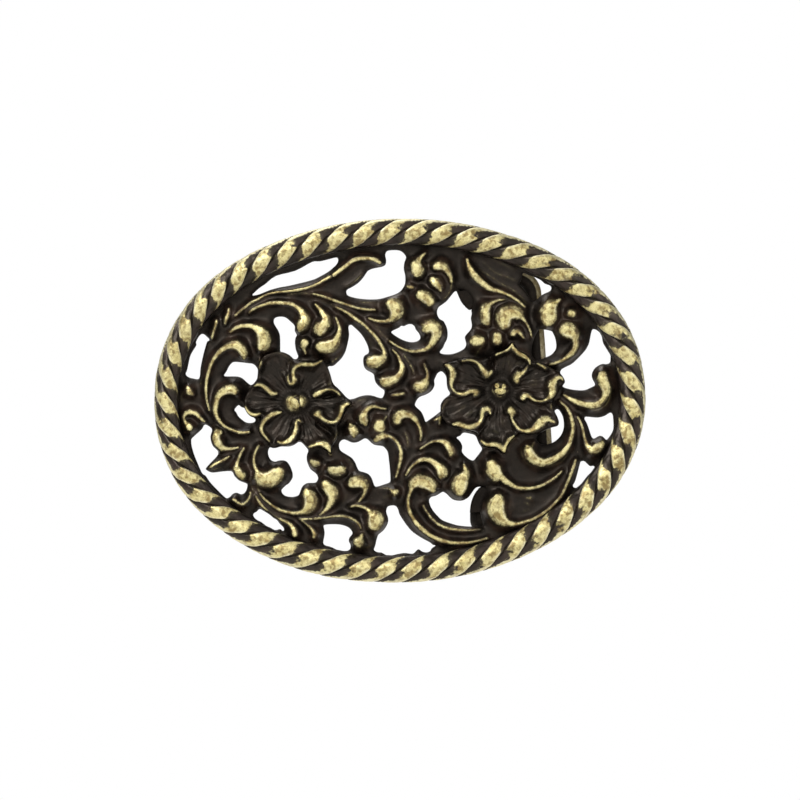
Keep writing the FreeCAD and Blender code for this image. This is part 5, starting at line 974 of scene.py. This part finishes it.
def lug(name, sign, node):
    """An ear on the back face that takes the bale's pin in a blind hole: a domed nose, a foot that runs out into the plate."""
    n = 72
    u0, u1, bore, bevel = (16.55 if sign > 0 else 15.48), 20.10, 1.35, 0.08
    th = 2 * np.pi * np.arange(n) / n
    cy, cn = np.cos(th), np.sin(th)                  # cy = 1 points away from the plate

    def nose(u):
        if sign > 0:
            return float(np.interp(u, (16.55, 16.62, 16.72, 16.94, 17.4, 17.83, 18.4, 18.95, 19.6, 20.05), (0.02, 0.25, 0.42, 0.68, 1.06, 1.36, 1.65, 1.85, 2.06, 2.22)))
        return float(np.interp(u, (15.48, 15.53, 15.62, 15.80, 16.2, 16.66, 17.14, 17.7, 18.25, 18.85, 19.46, 20.05), (0.02, 0.22, 0.42, 0.72, 1.12, 1.46, 1.76, 2.04, 2.25, 2.42, 2.53, 2.60)))

    def section(r):
        return np.where(cy < 0, np.minimum(r / np.maximum(np.abs(cn), 1e-6), 3.95 / np.maximum(-cy, 1e-6)), r)

    steps = [(u0 + (u1 - bevel - u0) * (1 - math.cos(f * math.pi / 2)), nose(u0 + (u1 - bevel - u0) * (1 - math.cos(f * math.pi / 2)) + 0.004), 0.0) for f in np.linspace(0, 1, 22)]
    for a in np.radians([72, 54, 36, 18, 0]):
        steps.append((u1 - bevel * (1 - math.cos(a)), nose(u1), bevel * (1 - math.sin(a))))
    rings, out = [], []
    for u, r, cut in steps:
        lean = 0.30 * min(1, r / 1.5)
        rad = section(r - lean) - cut
        y, w = rad * cy, rad * cn
        if 0.3 < r and cut == 0:
            rough = 0.03 * cheap_noise(th * 2, th * 0 + u, 0.8, 81)
            y, w = y + rough * cy * (cy > 0), w + rough * cn
        # the foot: grows wider as it meets the plate
        depth = np.clip((3.2 + y) / 1.1, 0, 1)
        grow = lean * (1 - depth) ** 2
        w = w + np.sign(w) * grow * (np.abs(w) > 0.4 * r)
        rings.append(HINGE + np.outer(sign * u * np.ones(n), U_AX) + np.outer(w, N_AX) + np.outer(y, Y_AX))
        out.append(smoothstep(17.5, 19.0, u) * smoothstep(0.55, 1, cy))
    for f in (0.8, 0.5, 0.2, 0.0):
        rad = bore + 0.12 + f * (section(nose(u1) - 0.30) - bevel - bore - 0.12)
        rings.append(HINGE + np.outer(sign * u1 * np.ones(n), U_AX) + np.outer(rad * cn, N_AX) + np.outer(rad * cy, Y_AX))
        out.append(0 * th)
    for rad, u in ((bore, u1 - 0.12), (bore, 18.7), (bore, 17.9), (0.5, 17.9)):
        rings.append(HINGE + np.outer(sign * u * np.ones(n), U_AX) + np.outer(rad * cn, N_AX) + np.outer(rad * cy, Y_AX))
        out.append(0 * th)
    V, F, T = lathe(rings, n)
    if sign > 0:
        F, T = F[:, ::-1], T[:, ::-1]
    ob = mixed_object(name, V, F, T, "buckle", node)
    give(ob, "worn", np.concatenate([0.04 + 0.38 * o for o in out] + [[0, 0]]))
    give(ob, "flank_rub_and_sheen", np.zeros(len(V)))
    # painted shade: near-black on the side of the ear turned towards the plate and in the bore
    give(ob, "painted_shade", np.concatenate([0.95 * (1 - smoothstep(0.1, 0.8, cy)) for o in out] + [[1, 1]]))
    return ob


upper_lug = lug("upper_bale_ear", 1, "upper_bale_lug")
lower_lug = lug("lower_bale_ear", -1, "lower_bale_lug")

PEG = np.array([-18.0, float(back_y(-18.0)) + 2.2, 0.0])
LEAN = math.radians(22.0)
D_AX = np.array([-math.sin(LEAN), math.cos(LEAN), 0.0])
E_AX = np.array([math.cos(LEAN), math.sin(LEAN), 0.0])
Z_AX = np.array([0.0, 0.0, 1.0])


def turned(name, profile, node, foot):
    """A turned piece about the peg's axis. profile is (radius, distance along the axis); foot adds a run-out into the plate."""
    n = 64
    ph = 2 * np.pi * np.arange(n) / n
    rings = []
    if foot:
        r0 = profile[0][0]
        for extra, sink in ((0.95, -0.35), (0.85, -0.02), (0.50, 0.12), (0.24, 0.34), (0.08, 0.66), (0.0, 1.05)):
            ring = []
            for p in ph:
                r = r0 + extra
                q = PEG + r * math.cos(p) * E_AX + r * math.sin(p) * Z_AX
                # slide along the axis until it stands this far behind the back face
                lo, hi = -9.0, 9.0
                for _ in range(40):
                    mid = 0.5 * (lo + hi)
                    c = q + mid * D_AX
                    if c[1] - back_y(c[0]) > sink:
                        hi = mid
                    else:
                        lo = mid
                top = profile[0][1] - 0.05 * (len(rings) < 5)
                t = min(0.5 * (lo + hi), top - 0.05 * (6 - len(rings)))
                ring.append(q + t * D_AX)
            rings.append(np.array(ring))
    for r, t in profile:
        rr = r * (1 + 0.006 * cheap_noise(ph * 2, ph * 0 + t, 0.9, 91))
        rings.append(PEG + t * D_AX + np.outer(rr * np.cos(ph), E_AX) + np.outer(rr * np.sin(ph), Z_AX))
    V, F, T = lathe(rings, n)
    ob = mixed_object(name, V, F[:, ::-1], T[:, ::-1], "buckle", node)
    return ob, V, len(rings), n


boss_profile = [(3.6, -0.42)]
for a in np.radians([15, 30, 45, 60, 75, 90]):
    boss_profile.append((3.2 + 0.4 * math.cos(a), -0.4 + 0.4 * math.sin(a)))
boss_profile += [(2.8, 0.0), (2.3, 0.0), (1.6, 0.0), (0.4, 0.0)]
boss, bv, bk, bn = turned("hook_boss_pad", boss_profile, "hook_boss", True)
give(boss, "worn", np.concatenate([[0.10 + (0.30 if 5 < i < 10 else 0.0)] * bn for i in range(bk)] + [[0.1, 0.1]]))
give(boss, "flank_rub_and_sheen", np.zeros(len(bv)))

peg_profile = [(1.5, -0.9), (2.0, -0.6), (2.0, 0.0), (2.0, 0.6), (2.0, 1.5), (2.0, 2.5), (2.0, 3.5), (2.0, 4.5), (2.0, 5.2), (2.0, 5.5)]
for a in np.radians(np.linspace(0, 88, 16))[1:]:
    peg_profile.append((2.0 * math.cos(a), 5.5 + 2.0 * math.sin(a)))
hook, hv, hk, hn = turned("belt_hook_peg", peg_profile, "belt_hook", False)
along = (hv - PEG) @ D_AX
give(hook, "worn", 0.12 + 0.62 * smoothstep(4.6, 6.6, along) + 0.15 * smoothstep(2.0, 4.0, along))
give(hook, "flank_rub_and_sheen", np.zeros(len(hv)))

# ------------------------------------------------------------------ materials
def node_tree(name):
    mat = bpy.data.materials.new(name)
    mat.use_nodes = True
    nt = mat.node_tree
    for n in list(nt.nodes):
        nt.nodes.remove(n)
    out = nt.nodes.new("ShaderNodeOutputMaterial")
    bsdf = nt.nodes.new("ShaderNodeBsdfPrincipled")
    nt.links.new(bsdf.outputs[0], out.inputs[0])
    return mat, nt, bsdf


class Nodes:
    """Short names for the nodes used below."""

    def __init__(self, nt):
        self.nt = nt

    def link(self, a, b):
        self.nt.links.new(a, b)

    def put(self, socket, v):
        if hasattr(v, "is_linked") or isinstance(v, bpy.types.NodeSocket):
            self.link(v, socket)
        else:
            socket.default_value = v

    def math(self, op, a, b=0.0, c=0.0, clamp=False):
        n = self.nt.nodes.new("ShaderNodeMath")
        n.operation = op
        n.use_clamp = clamp
        self.put(n.inputs[0], a)
        self.put(n.inputs[1], b)
        self.put(n.inputs[2], c)
        return n.outputs[0]

    def attr(self, name):
        n = self.nt.nodes.new("ShaderNodeAttribute")
        n.attribute_name = name
        return n.outputs["Fac"]

    def noise(self, size_mm, detail=3.0, rough=0.55, distort=0.0, seed=0.0):
        """Noise whose blotches are about size_mm across."""
        n = self.nt.nodes.new("ShaderNodeTexNoise")
        n.noise_dimensions = "4D"
        n.inputs["W"].default_value = seed
        n.inputs["Scale"].default_value = 1000.0 / size_mm
        n.inputs["Detail"].default_value = detail
        n.inputs["Roughness"].default_value = rough
        n.inputs["Distortion"].default_value = distort
        self.link(self.coord, n.inputs["Vector"])
        return n.outputs["Fac"]

    def cells(self, size_mm, seed=0.0):
        n = self.nt.nodes.new("ShaderNodeTexVoronoi")
        n.voronoi_dimensions = "4D"
        n.inputs["W"].default_value = seed
        n.inputs["Scale"].default_value = 1000.0 / size_mm
        self.link(self.coord, n.inputs["Vector"])
        return n.outputs["Distance"]

    def ramp(self, v, lo, hi, to_lo=0.0, to_hi=1.0, smooth=True):
        n = self.nt.nodes.new("ShaderNodeMapRange")
        n.interpolation_type = "SMOOTHSTEP" if smooth else "LINEAR"
        self.put(n.inputs["Value"], v)
        n.inputs["From Min"].default_value = lo
        n.inputs["From Max"].default_value = hi
        n.inputs["To Min"].default_value = to_lo
        n.inputs["To Max"].default_value = to_hi
        return n.outputs["Result"]

    def mix(self, f, a, b):
        n = self.nt.nodes.new("ShaderNodeMix")
        n.data_type = "RGBA"
        self.put(n.inputs["Factor"], f)
        self.put(n.inputs[6], a)
        self.put(n.inputs[7], b)
        return n.outputs[2]

    def bump(self, height, mm, normal=None):
        n = self.nt.nodes.new("ShaderNodeBump")
        n.inputs["Strength"].default_value = 1.0
        n.inputs["Distance"].default_value = mm * MM
        self.link(height, n.inputs["Height"])
        if normal is not None:
            self.link(normal, n.inputs["Normal"])
        return n.outputs["Normal"]


def lin(r, g, b):
    f = lambda c: c / 255 / 12.92 if c / 255 <= 0.04045 else ((c / 255 + 0.055) / 1.055) ** 2.4
    return (f(r), f(g), f(b), 1.0)


def antique_brass(name, bright_gain=1.0, dark=(13, 9, 7), dark_warm=(46, 34, 27), brass=(236, 225, 166), brass_low=(207, 193, 131), stain=(122, 98, 56), pale=(246, 240, 204), shine=0.55, skin=0.43):
    """Brass with a near-black patina in the hollows, darkened further there with painted shade, rubbed back to metal on
    what stands proud, with a painted sheen, partly rub, round the crests.
    """
    mat, nt, bsdf = node_tree(name)
    k = Nodes(nt)
    tc = nt.nodes.new("ShaderNodeTexCoord")
    k.coord = tc.outputs["Object"]
    worn, flank_rub_and_sheen = k.attr("worn"), k.attr("flank_rub_and_sheen")
    blotch = k.noise(1.5, 4.0, 0.6, 0.3, 1.0)
    grain = k.noise(0.42, 3.0, 0.6, 0.0, 2.0)
    fine = k.noise(0.16, 2.0, 0.5, 0.0, 3.0)
    pits = k.cells(0.75, 4.0)
    # rubbed share: the worn mask, broken up by the grain, with dark specks left in the pits
    ragged = k.math("MULTIPLY_ADD", k.math("SUBTRACT", grain, 0.5), 0.34, worn)
    ragged = k.math("MULTIPLY_ADD", k.math("SUBTRACT", fine, 0.5), 0.12, ragged)
    speck = k.ramp(k.math("ADD", pits, k.math("MULTIPLY", grain, 0.5)), 0.20, 0.34, 0.45, 1.0)
    share = k.math("MULTIPLY", k.ramp(ragged, 0.10, 0.86), speck, clamp=True)
    share = k.math("MINIMUM", share, k.ramp(worn, 0.02, 0.55))
    # round the crests a noisy blush of brass: partly rub-through, partly a painted sheen on their shoulders
    halo = k.math("MULTIPLY_ADD", k.math("SUBTRACT", grain, 0.5), 1.3, k.math("MULTIPLY_ADD", k.math("SUBTRACT", fine, 0.5), 0.9, flank_rub_and_sheen))
    blush_and_sheen = k.math("MULTIPLY", k.ramp(halo, 0.40, 0.95, 0.0, 0.72), k.ramp(blotch, 0.35, 0.60, 0.25, 1.0))
    blush_and_sheen = k.math("MAXIMUM", blush_and_sheen, k.math("MULTIPLY", flank_rub_and_sheen, 0.07))
    share = k.math("MAXIMUM", share, blush_and_sheen, clamp=True)
    # colours
    metal = k.mix(k.ramp(blotch, 0.32, 0.62), lin(*brass_low), lin(*brass))
    cloud = k.noise(0.85, 2.0, 0.5, 0.6, 9.0)
    metal = k.mix(k.math("MULTIPLY", k.ramp(cloud, 0.58, 0.40, 0.0, 0.80), k.ramp(blotch, 0.70, 0.44)), metal, lin(*stain))
    metal = k.mix(k.ramp(k.math("ADD", k.cells(0.42, 5.0), k.math("MULTIPLY", grain, 0.5)), 0.48, 0.32, 0.0, 0.80), metal, lin(*stain))
    metal = k.mix(k.ramp(fine, 0.60, 0.42, 0.0, 0.24), metal, lin(132, 112, 60))
    metal = k.mix(k.math("MULTIPLY", k.attr("gleam"), k.ramp(grain, 0.35, 0.6, 0.45, 0.95)), metal, lin(*pale))
    patina = k.mix(k.ramp(k.noise(2.4, 4.0, 0.6, 0.2, 7.0), 0.40, 0.66), lin(*dark), lin(*dark_warm))
    # painted shade: the patina turns near-black in the hollows, creases and sides turned to the plate, partly the
    # deeper patina of the hollows
    patina = k.mix(k.math("MULTIPLY", k.attr("painted_shade"), 0.80), patina, lin(7, 5, 4))
    patina = k.mix(k.ramp(fine, 0.60, 0.74, 0.0, 0.26), patina, lin(88, 75, 62))
    fleck = k.math("MULTIPLY", k.ramp(k.cells(0.60, 8.0), 0.17, 0.08), k.ramp(blotch, 0.50, 0.62, 0.0, 0.75))
    patina = k.mix(fleck, patina, lin(118, 104, 86))
    k.link(k.mix(share, patina, metal), bsdf.inputs["Base Color"])
    k.link(k.ramp(share, 0.0, 0.8, 0.15, shine), bsdf.inputs["Metallic"])
    rough = k.math("MULTIPLY_ADD", k.math("SUBTRACT", grain, 0.5), 0.12, k.ramp(share, 0.0, 1.0, 0.34, 0.42))
    rough = k.math("MULTIPLY_ADD", k.attr("painted_shade"), 0.24, rough, clamp=True)
    k.link(rough, bsdf.inputs["Roughness"])
    # cast skin
    n1 = k.bump(blotch, 0.085)
    n2 = k.bump(grain, 0.032, n1)
    n3 = k.bump(fine, 0.013, n2)
    k.link(n3, bsdf.inputs["Normal"])
    bsdf.inputs["Specular IOR Level"].default_value = skin
    bsdf.inputs["Specular Tint"].default_value = (1.0, 0.86, 0.72, 1.0)
    return mat


casting = antique_brass("antique_brass_casting")
petal = antique_brass("antique_brass_petal", dark=(9, 7, 5), dark_warm=(32, 24, 19), skin=0.37)
cord = antique_brass("antique_brass_cord", dark=(17, 13, 12), dark_warm=(46, 36, 34), skin=0.5)
fittings = antique_brass("antique_brass_fittings", dark=(18, 15, 14), dark_warm=(46, 37, 30), brass=(190, 174, 118), brass_low=(136, 120, 80), skin=0.22)
# paler brass for the wire: partly its own tone, partly painted light standing in for the lit band on the bar
wire = antique_brass("antique_brass_wire", dark=(16, 13, 12), dark_warm=(44, 35, 28), brass=(228, 215, 176), brass_low=(196, 181, 140), stain=(160, 142, 104), shine=0.25, skin=0.26)


def paint(ob, mat):
    ob.data.materials.clear()
    ob.data.materials.append(mat)


for ob in (scroll, left_bead, right_bead):
    paint(ob, casting)
for ob in (left, right):
    paint(ob, petal)
paint(rim, cord)
for ob in (upper_lug, lower_lug, boss, hook):
    paint(ob, fittings)
paint(loop, wire)

# ------------------------------------------------------------------ floor, light, camera
scene = bpy.context.scene
scene.view_settings.view_transform = "Standard"
scene.view_settings.look = "None"

fm = bpy.data.meshes.new("studio_floor")
fm.from_pydata([(-2.0, -1.3, -0.12), (2.0, -1.3, -0.12), (2.0, 0.55, -0.12), (-2.0, 0.55, -0.12)], [], [(0, 1, 2, 3)])
floor = bpy.data.objects.new("studio_floor", fm)
scene.collection.objects.link(floor)
fmat, fnt, fb = node_tree("pale_floor")
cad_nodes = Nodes(fnt)
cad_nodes.coord = fnt.nodes.new("ShaderNodeTexCoord").outputs["Object"]
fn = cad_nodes.noise(60.0, 2.0)
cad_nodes.link(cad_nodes.mix(fn, lin(236, 236, 234), lin(243, 243, 241)), fb.inputs["Base Color"])
fb.inputs["Roughness"].default_value = 0.85
fm.materials.append(fmat)

world = bpy.data.worlds.new("studio")
scene.world = world
world.use_nodes = True
wt = world.node_tree
for n in list(wt.nodes):
    wt.nodes.remove(n)
wo = wt.nodes.new("ShaderNodeOutputWorld")
path = wt.nodes.new("ShaderNodeLightPath")
white = wt.nodes.new("ShaderNodeBackground")
white.inputs[0].default_value = (1, 1, 1, 1)
white.inputs[1].default_value = 1.0
room = wt.nodes.new("ShaderNodeBackground")
room.inputs[1].default_value = 1.0
wc = wt.nodes.new("ShaderNodeTexCoord")
ws = wt.nodes.new("ShaderNodeSeparateXYZ")
wt.links.new(wc.outputs["Generated"], ws.inputs[0])
wr = wt.nodes.new("ShaderNodeValToRGB")
wt.links.new(ws.outputs[2], wr.inputs[0])
el = wr.color_ramp.elements
wm = wt.nodes.new("ShaderNodeMapRange")
wt.links.new(ws.outputs[2], wm.inputs["Value"])
wm.inputs["From Min"].default_value = -1.0
wm.inputs["From Max"].default_value = 1.0
wt.links.new(wm.outputs["Result"], wr.inputs[0])
el[0].position, el[0].color = 0.15, (0.30, 0.30, 0.31, 1)
el[1].position, el[1].color = 0.85, (0.75, 0.75, 0.74, 1)
wy = wt.nodes.new("ShaderNodeMapRange")
wy.interpolation_type = "SMOOTHSTEP"
wt.links.new(ws.outputs[1], wy.inputs["Value"])
wy.inputs["From Min"].default_value = -0.55
wy.inputs["From Max"].default_value = 0.30
wy.inputs["To Min"].default_value = 1.0
wy.inputs["To Max"].default_value = 0.14
wd = wt.nodes.new("ShaderNodeMapRange")          # the dim end of the studio, where the photographer stands
wd.interpolation_type = "SMOOTHSTEP"
wt.links.new(ws.outputs[1], wd.inputs["Value"])
wd.inputs["From Min"].default_value = -0.98
wd.inputs["From Max"].default_value = -0.70
wd.inputs["To Min"].default_value = 0.42
wd.inputs["To Max"].default_value = 1.0
wm2 = wt.nodes.new("ShaderNodeMath")
wm2.operation = "MULTIPLY"
wt.links.new(wy.outputs["Result"], wm2.inputs[0])
wt.links.new(wd.outputs["Result"], wm2.inputs[1])
wt.links.new(wm2.outputs[0], room.inputs[1])
wt.links.new(wr.outputs[0], room.inputs[0])
wmix = wt.nodes.new("ShaderNodeMixShader")
wt.links.new(path.outputs["Is Camera Ray"], wmix.inputs[0])
wt.links.new(room.outputs[0], wmix.inputs[1])
wt.links.new(white.outputs[0], wmix.inputs[2])
wt.links.new(wmix.outputs[0], wo.inputs[0])


def softbox(name, place, size, power, aim=(0, 0, 0)):
    light = bpy.data.lights.new(name, "AREA")
    light.shape = "RECTANGLE"
    light.size, light.size_y = size
    light.energy = power
    ob = bpy.data.objects.new(name, light)
    scene.collection.objects.link(ob)
    ob.location = place
    ob.rotation_mode = "QUATERNION"
    ob.rotation_quaternion = (Vector(aim) - Vector(place)).to_track_quat("-Z", "Y")
    return ob


softbox("key_box", (-0.55, -0.75, 0.75), (0.7, 0.6), 9.0)
softbox("front_box", (0.15, -1.10, 0.42), (0.9, 0.5), 2.6)
softbox("side_box", (0.95, -0.35, 0.15), (0.4, 0.8), 2.1)
softbox("back_box", (-0.25, 0.55, 1.0), (0.8, 0.5), 5.0)

cam = bpy.data.cameras.new("camera")
cam.lens = 250.0
cam.sensor_width = 36.0
cam.clip_start, cam.clip_end = 0.05, 20.0
camera = bpy.data.objects.new("camera", cam)
scene.collection.objects.link(camera)
half_width = 0.14467 / 2
camera.location = (0.0, -0.001 - half_width / (18.0 / 250.0), 0.00009)
camera.rotation_mode = "XYZ"
camera.rotation_euler = (math.radians(90), 0, 0)
scene.camera = camera
